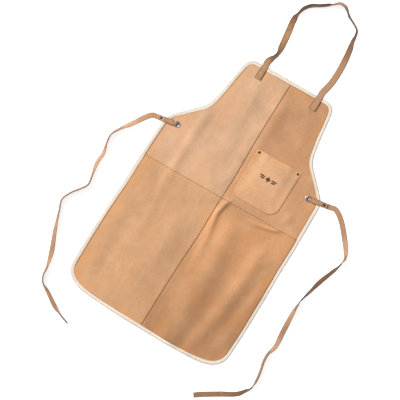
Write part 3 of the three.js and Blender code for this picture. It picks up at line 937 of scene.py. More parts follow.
    def puckers(self, x: np.ndarray, y: np.ndarray) -> np.ndarray:
        """The small gathers beside the seams."""
        turns = 2 * math.pi / self.pucker_pitch
        beside_centre = np.exp(-((x / (11 * MM)) ** 2))
        beside_centre = beside_centre * np.sin(turns * y + 2.2 * np.sin(31 * y) + 3 * np.sign(x))
        level = y - self.waist
        beside_waist = np.exp(-((level / (12 * MM)) ** 2)) * np.sin(turns * x + 2.6 * np.sin(27 * x))
        strength = 0.55 + 0.45 * np.sin(23 * x + 37 * y)
        return self.pucker * strength * (beside_centre + beside_waist)

    def drift(self, x: np.ndarray, y: np.ndarray) -> np.ndarray:
        """How far the seam and what is beside it have been pulled towards +X."""
        pulls = np.exp(-(((y - 0.1) / 0.1) ** 2)) + np.exp(-(((y + 0.11) / 0.1) ** 2))
        return self.seam_drift * pulls * np.exp(-((x / 0.07) ** 2))

    def place(self, points: np.ndarray) -> np.ndarray:
        """Takes pattern points to where they lie.

        Args:
            points: Pattern x and y, and the height above the floor of the flat apron, (..., 3).

        Returns:
            The same points in the row frame.
        """
        x, y, z = points[..., 0], points[..., 1], points[..., 2]
        out = np.empty(points.shape)
        out[..., 0] = x + self.drift(x, y) + self.shift[0]
        out[..., 1] = y + x * self.lean(y) + self.shift[1]
        out[..., 2] = z + self.lift(x, y)
        return out

    def half_outline(self) -> np.ndarray:
        """The right half of the outline, from the hem's middle round to the top's middle.

        Each run is a Bezier curve from where the last one ended.
        """
        steps = np.linspace(0, 1, 33)[:, None]
        bend = (0.0, self.hem)
        runs = [
            ((0.130, self.hem), (0.205, -0.468)),
            ((0.262, -0.463), (0.298, -0.440), (0.298, -0.395)),
            ((0.300, -0.350), (0.300, -0.300)),
            ((0.300, -0.200), (0.296, -0.100)),
            ((0.296, 0.0),),
            ((0.292, 0.145),),
            ((0.289, 0.175), (0.271, 0.194)),
            ((0.209, 0.257),),
            ((0.193, 0.273), (0.187, 0.300)),
            ((0.178, 0.336), (0.1715, 0.394)),
            ((0.1655, 0.434),),
            ((0.163, 0.455), (0.152, self.top), (0.128, self.top)),
            ((0.0, self.top),),
        ]
        points = [np.array([bend])]
        for run in runs:
            control = np.array([bend, *run])[:, None]
            while len(control) > 1:
                control = control[:-1] * (1 - steps) + control[1:] * steps
            points.append(control[0][1:])
            bend = run[-1]
        return np.concatenate(points)

    def outline(self, pitch: float) -> np.ndarray:
        """The whole outline, counter-clockwise from the right end of the waist, at an even pitch."""
        right = self.half_outline()
        left = right[1:-1][::-1] * (-1, 1)
        ring = np.concatenate([right, left, right[:1]])
        start = int(np.argmax((ring[:, 1] > self.waist) & (ring[:, 0] > 0)))
        ring = np.concatenate([ring[start:-1], ring[:start]])
        first = np.array([[np.interp(self.waist, ring[[-1, 0], 1], ring[[-1, 0], 0]), self.waist]])
        return evenly(np.concatenate([first, ring, first]), pitch)

    def panel_bounds(self, half: Half) -> tuple[np.ndarray, np.ndarray]:
        """The right panel's outer edges.

        Args:
            half: The panel above the waist seam or the one below it.

        Returns:
            Its side, from the waist to the corner, and its end, from the middle to the corner.
        """
        right = self.half_outline()
        bib = half is Half.BIB
        part = right[right[:, 1] > self.waist] if bib else right[right[:, 1] < self.waist][::-1]
        near_end = np.abs(part[:, 1] - (self.top if bib else self.hem)) < 0.1
        slant = part[:, 0] + (1 if bib else -1) * part[:, 1]
        corner = int(np.argmax(np.where(near_end, slant, -np.inf)))
        waist_x = np.interp(self.waist, right[:, 1], right[:, 0])
        side = np.concatenate([[[waist_x, self.waist]], part[: corner + 1]])
        return side, part[corner:][::-1]


def distance_along(points: np.ndarray) -> np.ndarray:
    """How far each point of a polyline is from its first."""
    return np.concatenate([[0], np.cumsum(np.linalg.norm(np.diff(points, axis=0), axis=1))])


def evenly(points: np.ndarray, pitch: float) -> np.ndarray:
    """A polyline's points at an even pitch along it."""
    far = distance_along(points)
    count = max(2, int(round(far[-1] / pitch)) + 1)
    at = np.linspace(0, far[-1], count)
    return np.stack([np.interp(at, far, points[:, i]) for i in range(points.shape[1])], -1)


PATTERN = Pattern()


# ---- Flat straps --------------------------------------------------------------------------------


def through(points: np.ndarray, at: np.ndarray) -> np.ndarray:
    """A smooth curve through points, evenly smooth however far apart they are.

    Args:
        points: The points it goes through, (n, d).
        at: Where to read it, in point numbers from 0 to n - 1.

    Returns:
        The curve's points, (len(at), d).
    """
    padded = np.concatenate([[2 * points[0] - points[1]], points, [2 * points[-1] - points[-2]]])
    gaps = np.sqrt(np.linalg.norm(np.diff(padded, axis=0), axis=1))
    k = np.minimum(at.astype(int), len(points) - 2)
    t = (at - k)[:, None]
    a, b, c, d = (padded[k + i] for i in range(4))
    g0, g1, g2 = (gaps[k + i][:, None] for i in range(3))
    leave = ((b - a) / g0 - (c - a) / (g0 + g1) + (c - b) / g1) * g1
    arrive = ((c - b) / g1 - (d - b) / (g1 + g2) + (d - c) / g2) * g1
    return b + leave * t + (3 * (c - b) - 2 * leave - arrive) * t**2 + (2 * (b - c) + leave + arrive) * t**3


@dataclass
class FlatStrap:
    """A flat leather strap that follows a route of stations.

    A station is (x, y, roll in degrees, height of the strap's lowest edge). Roll 0 lies flat, and 90
    stands on its edge with the strap's left side up. Where it stands on edge, it curls across its width.
    """

    width: float
    thick: float
    pitch: float = 2.6 * MM
    least_lean: float = 20.0
    curl: float = 0.15
    soiled: float = 0.0

    def leaning(self, roll: np.ndarray) -> np.ndarray:
        """The rolls, with each one near upright laid back a little, since a strap can't balance on edge."""
        off = roll - 90
        way = np.where(off > 0, 1, -1)
        return np.where(np.abs(off) < self.least_lean, 90 + way * self.least_lean, roll)

    def section(self) -> np.ndarray:
        """The strap's section as (across, face) offsets, with eased edges and slightly crowned faces."""
        ease = self.thick * 0.42
        across = np.linspace(-1, 1, 9) * (self.width / 2 - ease)
        crown = self.thick / 2 - 0.05 * MM * (across / across[-1]) ** 2
        upper = np.stack([across, crown], -1)
        edge = np.array([[self.width / 2 - 0.28 * ease, 0.62 * crown[-1]], [self.width / 2, 0.0]])
        right = np.concatenate([upper, edge])
        lower = -right
        return np.concatenate([right, lower])

    def frames(self, route: list[Station]) -> tuple[np.ndarray, np.ndarray, np.ndarray]:
        """Follows a route of stations.

        Args:
            route: The stations.

        Returns:
            The centreline's points, and the direction across and out of the face at each.
        """
        stations = np.array(route, float)
        stations[:, 2] = self.leaning(stations[:, 2])
        spine = stations[:, [0, 1, 3]]
        count = int(np.linalg.norm(np.diff(spine, axis=0), axis=1).sum() / self.pitch)
        at = np.linspace(0, len(route) - 1, count + 1)
        centre = through(spine, at)
        nudge = 1e-3
        ahead = through(spine, np.minimum(at + nudge, len(route) - 1))
        behind = through(spine, np.maximum(at - nudge, 0))
        tangent = ahead - behind
        tangent /= np.linalg.norm(tangent, axis=1)[:, None]
        k = np.minimum(at.astype(int), len(route) - 2)
        mix = smooth(at - k)
        roll = np.radians(stations[k, 2] * (1 - mix) + stations[k + 1, 2] * mix)[:, None]
        left = np.cross([0.0, 0.0, 1.0], tangent)
        left /= np.linalg.norm(left, axis=1)[:, None]
        over = np.cross(tangent, left)
        across = left * np.cos(roll) + over * np.sin(roll)
        face = np.cross(tangent, across)
        rise = self.width / 2 * np.abs(across[:, 2]) + self.thick / 2 * np.abs(face[:, 2])
        centre[:, 2] = np.maximum(centre[:, 2], 0) + rise
        return centre, across, face

    def build(
        self,
        name: str,
        centre: np.ndarray,
        across: np.ndarray,
        face: np.ndarray,
        narrow: np.ndarray | None = None,
        shade_and_soil: np.ndarray | None = None,
        flipped: bool = False,
    ) -> bpy.types.Object:
        """Sweeps the section along the centreline.

        Args:
            name: The piece's name.
            centre: The centreline, (n, 3).
            across: The direction across at each point.
            face: The direction out of the face at each point.
            narrow: The share of the full width at each point, or None.
            shade_and_soil: How dark painted shade and soil make it at each point, or None to paint shade
            where it stands on edge and, if it is soiled, to darken it with soil along its outer half.
            flipped: Whether the leather's back is where the face would be.

        Returns:
            The strap.
        """
        section = self.section()
        share = np.ones(len(centre)) if narrow is None else narrow
        bow = self.width * self.curl * smooth((np.abs(across[:, 2]) - 0.8) / 0.17)
        hollow = bow[:, None] * (1 - (section[:, 0] / (self.width / 2)) ** 2)
        rings = centre[:, None] + across[:, None] * (section[:, :1] * share[:, None, None])
        rings = rings + face[:, None] * (section[:, 1] + hollow)[..., None]
        points, faces = tube(rings)
        # By default: painted shade where the strap stands on edge, and soil along a soiled strap's outer
        # half.
        if shade_and_soil is None:
            far = smooth(2 * distance_along(centre) / distance_along(centre)[-1])
            shade_and_soil = np.maximum(self.soiled * far, 0.66 * smooth((np.abs(across[:, 2]) - 0.64) / 0.31))
        run, wear = np.zeros(rings.shape), np.zeros(rings.shape)
        run[..., 0] = distance_along(centre)[:, None]
        run[..., 1] = section[:, 0]
        wear[..., 0] = np.abs(section[:, 0]) / (self.width / 2)
        wear[..., 1] = shade_and_soil[:, None]
        wear[..., 2] = section[:, 1] / (self.thick / 2) * (-1 if flipped else 1)
        vectors = run.reshape(-1, 3), wear.reshape(-1, 3)
        return make_piece(name, points, faces, STRAP_LEATHER, *vectors, sharp=60)


@dataclass
class NeckStrap:
    """The neck strap: its loop, which lies free, and its two ends, sewn on the bib."""

    side_x: float = 0.102
    sewn_from: float = 0.423
    hinge: float = 0.477
    width: float = 22 * MM
    thick: float = 1.2 * MM
    seat: float = 5.6 * MM
    stitch_inset: float = 3.2 * MM
    stitch_top: float = 0.467
    route: tuple[Station, ...] = (
        (-0.1025, 0.486, 4, 3.6 * MM),
        (-0.092, 0.508, 52, 0.6 * MM),
        (-0.088, 0.524, 56, 0),
        (-0.090, 0.549, 20, 0),
        (-0.096, 0.598, 3, 0),
        (-0.103, 0.645, 24, 0),
        (-0.101, 0.670, 84, 0),
        (-0.095, 0.692, 62, 0),
        (-0.079, 0.713, 64, 0),
        (-0.054, 0.729, 84, 0),
        (-0.034, 0.744, 90, 0),
        (-0.016, 0.759, 94, 0),
        (-0.002, 0.770, 124, 0),
        (0.017, 0.770, 128, 0),
        (0.036, 0.756, 116, 0),
        (0.047, 0.747, 120, 0),
        (0.064, 0.739, 117, 0),
        (0.088, 0.725, 115, 0),
        (0.095, 0.708, 112, 0),
        (0.097, 0.686, 126, 0),
        (0.104, 0.655, 156, 0),
        (0.111, 0.597, 176, 0),
        (0.111, 0.543, 180, 0),
        (0.106, 0.512, 180, 0.6 * MM),
        (0.1018, 0.494, 180, 3.2 * MM),
    )

    def meeting(self, side: Side) -> Pair:
        """Where the loop meets the sewn end, in the row frame."""
        x = side.value * self.side_x
        y = self.hinge - 0.9 * MM
        return x + PATTERN.shift[0], y + x * PATTERN.lay_above + PATTERN.shift[1]

    def loop(self) -> bpy.types.Object:
        """The free loop, from one sewn end round to the other."""
        lift = self.seat - self.thick / 2
        ends = [(*self.meeting(side), roll, lift) for side, roll in ((Side.LEFT, 0), (Side.RIGHT, 180))]
        shifted = [(x + PATTERN.shift[0], y + PATTERN.shift[1], roll, z) for x, y, roll, z in self.route]
        strap = FlatStrap(self.width, self.thick)
        centre, across, face = strap.frames([ends[0], *shifted, ends[1]])
        piece = strap.build("neck_loop", centre, across, face)
        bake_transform(piece)
        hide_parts("neck_strap_loop")
        return piece

    def sewn_end(self, side: Side) -> bpy.types.Object:
        """One end of the strap, sewn flat on the bib's face."""
        strap = FlatStrap(self.width, self.thick)
        count = 24
        y = np.linspace(self.sewn_from, self.hinge - 1.0 * MM, count)
        flat = np.stack([np.full(count, side.value * self.side_x), y, np.full(count, self.seat)], -1)
        spread = flat + (self.width / 2, 0, 0)
        centre = PATTERN.place(flat)
        across = PATTERN.place(spread) - centre
        across /= np.linalg.norm(across, axis=1)[:, None]
        along = np.gradient(centre, axis=0)
        face = np.cross(across, along)
        face /= np.linalg.norm(face, axis=1)[:, None]
        piece = strap.build(f"{side.word}_neck_end", centre, across, face, flipped=side is Side.RIGHT)
        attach(piece, "bib")
        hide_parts(f"{side.word}_neck_strap_end")
        return piece

    def stitch_path(self, side: Side) -> np.ndarray:
        """The box of stitching that holds one end, as pattern points."""
        x0 = side.value * self.side_x - self.width / 2 + self.stitch_inset
        x1 = side.value * self.side_x + self.width / 2 - self.stitch_inset
        y0, y1 = self.sewn_from + self.stitch_inset, self.stitch_top
        z = self.seat + self.thick / 2
        corners = [(x0, y0, z), (x1, y0, z), (x1, y1, z), (x0, y1, z), (x0, y0, z)]
        return np.array(corners)


@dataclass
class WaistTie:
    """One waist tie: a loop through its eyelet, riveted to itself, and its free tail."""

    side: Side
    tail: tuple[Station, ...]
    width: float = 17.5 * MM
    thick: float = 1.0 * MM
    tilt: float = 10.5
    loop_reach: float = 78 * MM
    rivet_at: float = 55.2 * MM

    def __post_init__(self) -> None:
        """Finds the tie's eyelet and heading."""
        self.eyelet = centre_of(f"{self.side.word}_eyelet") * (1, 1, 0)
        angle = math.radians(self.tilt) + (math.pi if self.side is Side.LEFT else 0)
        self.along = np.array([math.cos(angle), math.sin(angle), 0.0])
        self.across = np.array([-math.sin(angle), math.cos(angle), 0.0])

    def at(self, reach: float, height: float = 0.0) -> np.ndarray:
        """A point along the tie from its eyelet."""
        return self.eyelet + self.along * reach + np.array([0.0, 0.0, height])

    def loop(self) -> bpy.types.Object:
        """The loop: up through the eyelet, out over the edge, and riveted on the standing part.

        Its side view holds (along the tie, height, share of the full width) points in millimetres.
        """
        view = np.array([
            (64.5, 4.3, 1), (58, 4.4, 1), (54, 4.4, 1), (51, 5.0, 1), (47, 6.2, 1), (38, 6.5, 1),
            (26, 6.6, 1), (17, 6.8, 1), (11, 6.9, 0.82), (6, 6.9, 0.62), (2.6, 6.2, 0.52), (0.2, 4.9, 0.5),
            (-2.6, 3.4, 0.46), (-4.6, 2.3, 0.36), (-5.1, 1.5, 0.32), (-4.6, 0.8, 0.5), (-3, 0.55, 0.72),
            (2, 0.5, 0.75), (9, 0.5, 0.8), (24, 0.5, 1), (44, 0.5, 1), (48.5, 1.1, 1), (51.5, 2.7, 1),
            (54.5, 3.2, 1), (58, 3.15, 1), (61.5, 2.3, 1), (65, 0.95, 1), (69, 0.5, 1), (78, 0.5, 1),
        ])
        at = np.linspace(0, len(view) - 1, 190)
        line = through(view[:, :2] * MM, at)
        share = np.interp(at, np.arange(len(view)), view[:, 2])
        centre = self.eyelet + line[:, :1] * self.along + line[:, 1:] * np.array([0.0, 0.0, 1.0])
        centre[:, 2] = np.maximum(centre[:, 2], self.thick / 2)
        tangent = np.gradient(centre, axis=0)
        across = np.repeat(self.across[None], len(centre), 0)
        face = np.cross(across, tangent)
        face /= np.linalg.norm(face, axis=1)[:, None]
        # Painted shadow on the strap where it turns under inside the eyelet's barrel.
        inside = smooth((3.5 * MM - line[:, 0]) / (4 * MM)) * smooth((5.4 * MM - line[:, 1]) / (2.4 * MM))
        strap = FlatStrap(self.width, self.thick)
        piece = strap.build(f"{self.side.word}_tie", centre, across, face, share, 0.94 * inside)
        piece = cut_round_holes(piece, [self.at(self.rivet_at, 4 * MM)], 1.8 * MM)
        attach(piece, f"{self.side.word}_tie")
        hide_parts(f"{self.side.word}_tie_loop")
        return piece

    def free_tail(self) -> bpy.types.Object:
        """The tail, which lies loose on the floor."""
        word = self.side.word
        first = self.at(self.loop_reach)
        second = self.at(self.loop_reach + 1.8 * MM)
        shifted = [(x + PATTERN.shift[0], y + PATTERN.shift[1], roll, z) for x, y, roll, z in self.tail]
        route = [(first[0], first[1], 0, 0), (second[0], second[1], 0, 0), *shifted]
        strap = FlatStrap(self.width, self.thick, soiled=0.3)
        centre, across, face = strap.frames(route)
        piece = strap.build(f"{word}_tail", centre, across, face, flipped=True)
        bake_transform(piece)
        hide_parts(f"{word}_tie_tail")
        return piece


LEFT_TAIL = (
    (-0.332, 0.138, 4, 0),
    (-0.349, 0.117, 8, 0),
    (-0.372, 0.080, 26, 0),
    (-0.397, 0.044, 60, 0),
    (-0.411, 0.014, 76, 0),
    (-0.408, -0.017, 72, 0),
    (-0.400, -0.051, 42, 0),
    (-0.401, -0.090, 40, 0),
    (-0.393, -0.131, 64, 0),
    (-0.388, -0.164, 76, 0),
    (-0.403, -0.190, 77, 0),
    (-0.420, -0.213, 77, 0),
    (-0.435, -0.249, 72, 0),
    (-0.424, -0.283, 68, 0),
    (-0.414, -0.313, 58, 0),
    (-0.399, -0.353, 36, 0),
    (-0.375, -0.410, 20, 0),
    (-0.360, -0.464, 60, 0),
    (-0.356, -0.492, 76, 0),
    (-0.343, -0.514, 76, 0),
    (-0.314, -0.531, 36, 0),
    (-0.272, -0.558, 28, 0),
    (-0.239, -0.572, 70, 0),
    (-0.207, -0.583, 64, 0),
)

RIGHT_TAIL = (
    (0.335, 0.193, 6, 0),
    (0.350, 0.188, 8, 0),
    (0.374, 0.171, 4, 0),
    (0.405, 0.138, 6, 0),
    (0.438, 0.095, 40, 0),
    (0.449, 0.073, 84, 0),
    (0.447, 0.046, 104, 0),
    (0.438, 0.016, 140, 0),
    (0.421, -0.033, 158, 0),
    (0.409, -0.080, 130, 0),
    (0.401, -0.112, 98, 0),
    (0.398, -0.143, 88, 0),
    (0.399, -0.175, 40, 0),
    (0.404, -0.236, 10, 0),
    (0.408, -0.291, 40, 0),
    (0.400, -0.322, 66, 0),
    (0.401, -0.350, 64, 0),
    (0.410, -0.388, 68, 0),
    (0.414, -0.419, 68, 0),
    (0.413, -0.446, 112, 0),
    (0.400, -0.466, 138, 0),
    (0.385, -0.486, 160, 0),
    (0.335, -0.518, 176, 0),
    (0.283, -0.552, 180, 0),
    (0.265, -0.566, 180, 0),
)


# ---- Leather panels -----------------------------------------------------------------------------


@dataclass
class Panel:
    """One of the four leather panels, with its seam allowances turned to the back."""

    half: Half
    side: Side
    thick: float = 1.6 * MM
    top_level: float = 3.8 * MM
    edge_room: float = 1.6 * MM
    fold_radius: float = 1.5 * MM
    sag: float = 0.35 * MM
    sag_reach: float = 5 * MM
    drawn_in: float = 0.9
    columns: int = 116
    rows: int = 170
    eyelet_hole: float = 7.1 * MM
    rivet_hole: float = 1.9 * MM

    def flat_grid(self) -> np.ndarray:
        """The panel's pattern points, (rows, columns, 2), outwards from the two seams.

        The outermost columns are drawn in, to lie inside the edge tape.
        """
        side, end = PATTERN.panel_bounds(self.half)
        corner = side[-1]
        u = crowded(self.columns)
        v = crowded(self.rows)
        gap = PATTERN.seam_gap
        way = 1 if self.half is Half.BIB else -1
        waist_y = PATTERN.waist + way * PATTERN.waist_gap
        far_y = end[0, 1]
        side_y = waist_y + (corner[1] - waist_y) * v
        order = np.argsort(side[:, 1])
        side_line = np.stack([np.interp(side_y, side[order, 1], side[order, 0]), side_y], -1)
        end_x = gap + (corner[0] - gap) * u
        end_line = np.stack([end_x, np.interp(end_x, end[:, 0], end[:, 1])], -1)
        centre_line = np.stack([np.full(self.rows, gap), waist_y + (far_y - waist_y) * v], -1)
        waist_line = np.stack([gap + (side[0, 0] - gap) * u, np.full(self.columns, waist_y)], -1)
        u, v = u[None, :, None], v[:, None, None]
        ruled = (1 - v) * waist_line[None] + v * end_line[None]
        ruled = ruled + (1 - u) * centre_line[:, None] + u * side_line[:, None]
        corners = (1 - v) * ((1 - u) * waist_line[0] + u * waist_line[-1])
        corners = corners + v * ((1 - u) * end_line[0] + u * end_line[-1])
        grid = ruled - corners
        return grid - self.edge_room * u * (u > self.drawn_in) * np.array([1.0, 0.0])

    def build(self) -> bpy.types.Object:
        word = f"{self.side.word}_{self.half.value}"
        grid = self.flat_grid()
        level = np.abs(grid[..., 1] - PATTERN.waist) - PATTERN.waist_gap
        near = np.minimum(grid[..., 0] - PATTERN.seam_gap, level)
        grid[..., 0] *= self.side.value
        x, y = grid[..., 0], grid[..., 1]
        inward = np.clip(1 - near / self.fold_radius, 0, 1)
        rounding = self.fold_radius * (1 - np.sqrt(np.maximum(1 - inward**2, 0)))
        sag = self.sag * np.exp(-((near / self.sag_reach) ** 2))
        low = self.top_level - self.thick
        face = np.maximum(self.top_level + PATTERN.puckers(x, y) - rounding - sag, low + 0.3 * MM)
        top = np.dstack([x, y, face])
        bottom = np.dstack([x, y, np.full(x.shape, low)])
        points, faces = slab(PATTERN.place(top), PATTERN.place(bottom))
        across, down = np.abs(x) - PATTERN.seam_gap, level
        rim = np.minimum(np.abs(x[:, -1:]) - np.abs(x), np.abs(y[-1:] - y)) + self.edge_room
        run = np.tile(np.dstack([across, down, rim]).reshape(-1, 3), (2, 1))
        for path in self.seams():
            more, more_faces = self.turned_allowance(path, len(points))
            points = np.concatenate([points, more])
            run = np.concatenate([run, np.full(more.shape, 0.1)])
            faces += more_faces
        piece = make_piece(f"{word}_leather", points, faces, PANEL_FINISHES[self.half, self.side], run)
        piece = self.with_holes(piece)
        self.declare(piece, grid)
        return piece

    def seams(self) -> list[np.ndarray]:
        """The two seam lines, each as pattern points with the inward direction: (n, 4)."""
        sign = self.side.value
        way = 1 if self.half is Half.BIB else -1
        gap = PATTERN.seam_gap
        clear = 15 * MM
        side, end = PATTERN.panel_bounds(self.half)
        y = np.arange(PATTERN.waist + way * clear, end[0, 1] - way * clear, way * 3 * MM)
        pressed = sign * 0.12 * MM
        centre = np.stack([np.full(len(y), pressed), y, np.full(len(y), sign), np.zeros(len(y))], -1)
        x = np.arange(gap, side[0, 0] - clear, 3 * MM)
        waist_y = np.full(len(x), PATTERN.waist + way * PATTERN.waist_gap)
        waist = np.stack([sign * x, waist_y, np.zeros(len(x)), np.full(len(x), way)], -1)
        return [centre, waist]

    def turned_allowance(self, path: np.ndarray, first: int) -> tuple[np.ndarray, list]:
        """The allowance turned under along one seam: a wall down from the seam and a flat strip.

        Args:
            path: The seam line with the inward direction, (n, 4).
            first: The number of the first point.

        Returns:
            The points and the faces.
        """
        path = path.copy()
        path[:, :2] -= path[:, 2:] * 0.06 * MM
        low, high = 0.35 * MM, self.top_level - self.thick - 0.25 * MM
        wall_top = self.top_level - self.thick - 0.02 * MM
        wide = PATTERN.allowance
        section = np.array([
            (0, wall_top), (0, low + 1.0 * MM), (0.3 * MM, low + 0.3 * MM), (1.0 * MM, low),
            (wide * 0.5, low), (wide, low), (wide, high), (wide * 0.5, high), (2.0 * MM, high),
            (self.thick, wall_top),
        ])
        rings = np.empty((len(path), len(section), 3))
        rings[..., :2] = path[:, None, :2] + path[:, None, 2:] * section[None, :, :1]
        rings[..., 2] = section[:, 1]
        return tube(PATTERN.place(rings), first)

    def with_holes(self, piece: bpy.types.Object) -> bpy.types.Object:
        """Cuts a bib panel's eyelet hole, and the right one's rivet holes for the pocket."""
        if self.half is Half.SKIRT:
            return piece
        piece = cut_round_holes(piece, [centre_of(f"{self.side.word}_eyelet")], self.eyelet_hole)
        if self.side is Side.RIGHT:
            places = [POCKET.rivet_place(which) for which in Side]
            piece = cut_round_holes(piece, places, self.rivet_hole)
        return piece

    def declare(self, piece: bpy.types.Object, grid: np.ndarray) -> None:
        """Sets the panel in place with its half and hides the frame node it stands for; its flat size is
        worked out but not used.

        Args:
            piece: The panel.
            grid: Its pattern points, (rows, columns, 2).
        """
        move_with(piece, self.half)
        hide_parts(f"{self.side.word}_{self.half.value}_panel")
        spans = np.ptp(grid.reshape(-1, 2), axis=0) + PATTERN.allowance
        ring = np.concatenate([grid[0], grid[1:, -1], grid[-1, -2::-1], grid[-2:0:-1, 0]])
        x, y = ring.T
        area = abs(np.dot(x, np.roll(y, -1)) - np.dot(y, np.roll(x, -1))) / 2
        area += PATTERN.allowance * float(spans.sum())
        area = min(float(area), float(spans.prod()))


def crowded(count: int) -> np.ndarray:
    """Numbers from 0 to 1, three times as close together at 0 as on average."""
    t = np.linspace(0, 1, count)
    return 0.33 * t + 0.67 * t**2


def move_with(piece: bpy.types.Object, half: Half) -> None:
    """Makes a piece ride on the bib, or, as a part of the skirt, leaves it in place with no parent."""
    if half is Half.BIB:
        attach(piece, "bib")
        return
    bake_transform(piece)


# ---- Edge tape ----------------------------------------------------------------------------------


@dataclass
class EdgeTape:
    """The cotton tape folded over the apron's whole edge."""

    wide: float = 13 * MM
    thick: float = 0.62 * MM
    upper: float = 4.45 * MM
    lower: float = 1.6 * MM
    plump: float = 0.38 * MM
    stitch_in: float = 10.8 * MM
    pitch: float = 2.2 * MM

    def ring(self) -> np.ndarray:
        """The outline with its inward direction, (n, 4), from the right end of the waist."""
        points = PATTERN.outline(self.pitch)
        along = np.gradient(points, axis=0)
        along[0] = along[-1] = points[1] - points[-2]
        along /= np.linalg.norm(along, axis=1)[:, None]
        return np.concatenate([points, -along[:, 1:], along[:, :1]], axis=1)

    def halves(self) -> dict[Half, np.ndarray]:
        """The ring's run above the waist and its run below."""
        ring = self.ring()
        over = len(ring) - 1 - int(np.argmax(ring[::-1, 1] > PATTERN.waist))
        return {Half.BIB: ring[: over + 2], Half.SKIRT: ring[over + 1 :]}

    def spread(self, far: np.ndarray) -> np.ndarray:
        """The share of its full width that the tape's upper leg covers, at distances along it."""
        return 0.915 + 0.085 * np.sin(13 * far + 2 * np.sin(7 * far))

    def section(self) -> np.ndarray:
        """The folded tape's section as (inwards from its outer fold, height) points."""
        radius = (self.upper - self.lower) / 2
        middle = (self.upper + self.lower) / 2
        inward = np.array([1.0, 0.93, 0.86, 0.8, 0.66, 0.5, 0.34, 0.22]) * self.wide
        swell = self.plump * np.sin(np.clip(inward / self.stitch_in, 0, 1) * math.pi) ** 0.8
        upper = np.stack([inward, self.upper + swell], -1)
        angles = np.radians(np.linspace(80, -80, 9))
        bend = np.stack([radius * (1 - np.cos(angles)) + 0.3 * MM, middle + radius * np.sin(angles)], -1)
        lower = np.stack([inward[::-1], np.full(len(inward), self.lower)], -1)
        line = np.concatenate([upper, bend, lower])
        tangent = np.gradient(line, axis=0)
        normal = np.stack([tangent[:, 1], -tangent[:, 0]], -1)
        normal /= np.linalg.norm(normal, axis=1)[:, None]
        outer = line + normal * self.thick / 2
        inner = line - normal * self.thick / 2
        return np.concatenate([outer, inner[::-1]])

    def build(self, half: Half) -> bpy.types.Object:
        """Builds the tape of one half."""
        path = self.halves()[half]
        section = self.section()
        far = distance_along(path[:, :2])[:, None]
        inward, height = section[None, :, 0], section[None, :, 1]
        pull = np.sin(2 * math.pi * far / (9 * MM) + 1.3 * np.sin(17 * far))
        pull = pull * (0.55 + 0.45 * np.sin(41 * far))
        gather = 0.13 * MM * pull * np.exp(-(((inward - self.stitch_in) / (2.4 * MM)) ** 2))
        wander = 0.3 * MM * np.sin(53 * far + 2 * np.sin(19 * far)) * smooth(inward / self.wide)
        top = height > self.upper - 0.6 * MM
        rings = np.empty((len(path), len(section), 3))
        reach = (inward + wander) * np.where(top, self.spread(far), 1)
        rings[..., :2] = path[:, None, :2] + path[:, None, 2:] * reach[..., None]
        rings[..., 2] = height + gather * top
        points, faces = tube(PATTERN.place(rings))
        run = np.empty(rings.shape)
        run[..., 0] = far
        run[..., 1] = np.where(height < 3 * MM, -inward, inward)
        run[..., 2] = 0
        piece = make_piece(f"{half.value}_tape", points, faces, TAPE, run.reshape(-1, 3), sharp=60)
        move_with(piece, half)
        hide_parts(f"{half.value}_binding")
        return piece

    def stitch_paths(self) -> dict[str, np.ndarray]:
        """The tape's lines of stitching as pattern points, by the frame's names for them."""
        halves = self.halves()
        runs = {}
        for half, path in halves.items():
            level = np.full((len(path), 1), self.upper + self.thick / 2)
            reach = self.stitch_in * self.spread(distance_along(path[:, :2]))[:, None]
            runs[half] = np.concatenate([path[:, :2] + path[:, 2:] * reach, level], axis=1)
        bib = runs[Half.BIB]
        strap_room, tie_room = 13 * MM, 9 * MM
        straps = (np.abs(np.abs(bib[:, 0]) - NeckStrap.side_x) < strap_room) & (bib[:, 1] > 0.44)
        tie_line = PATTERN.eyelet_y + np.sign(bib[:, 0]) * 0.0075
        ties = (np.abs(bib[:, 0]) > 0.2) & (np.abs(bib[:, 1] - tie_line) < tie_room)
        found = {"skirt_binding_thread": runs[Half.SKIRT]}
        shown = np.flatnonzero(~(straps | ties))
        for part in np.split(shown, np.flatnonzero(np.diff(shown) > 1) + 1):
            found[self.thread_name(bib[part])] = bib[part]
        return found

    def thread_name(self, line: np.ndarray) -> str:
        """The frame's name for the stitching along one unbroken line of the bib's edge."""
        if line[:, 1].min() > 0.45 and np.ptp(line[:, 0]) > 0.1:
            return "top_edge_thread"
        side = Side.LEFT if line[:, 0].mean() < 0 else Side.RIGHT
        return f"{side.word}_{'side' if line[:, 1].max() < 0.2 else 'armhole'}_thread"


# ---- Pocket -------------------------------------------------------------------------------------


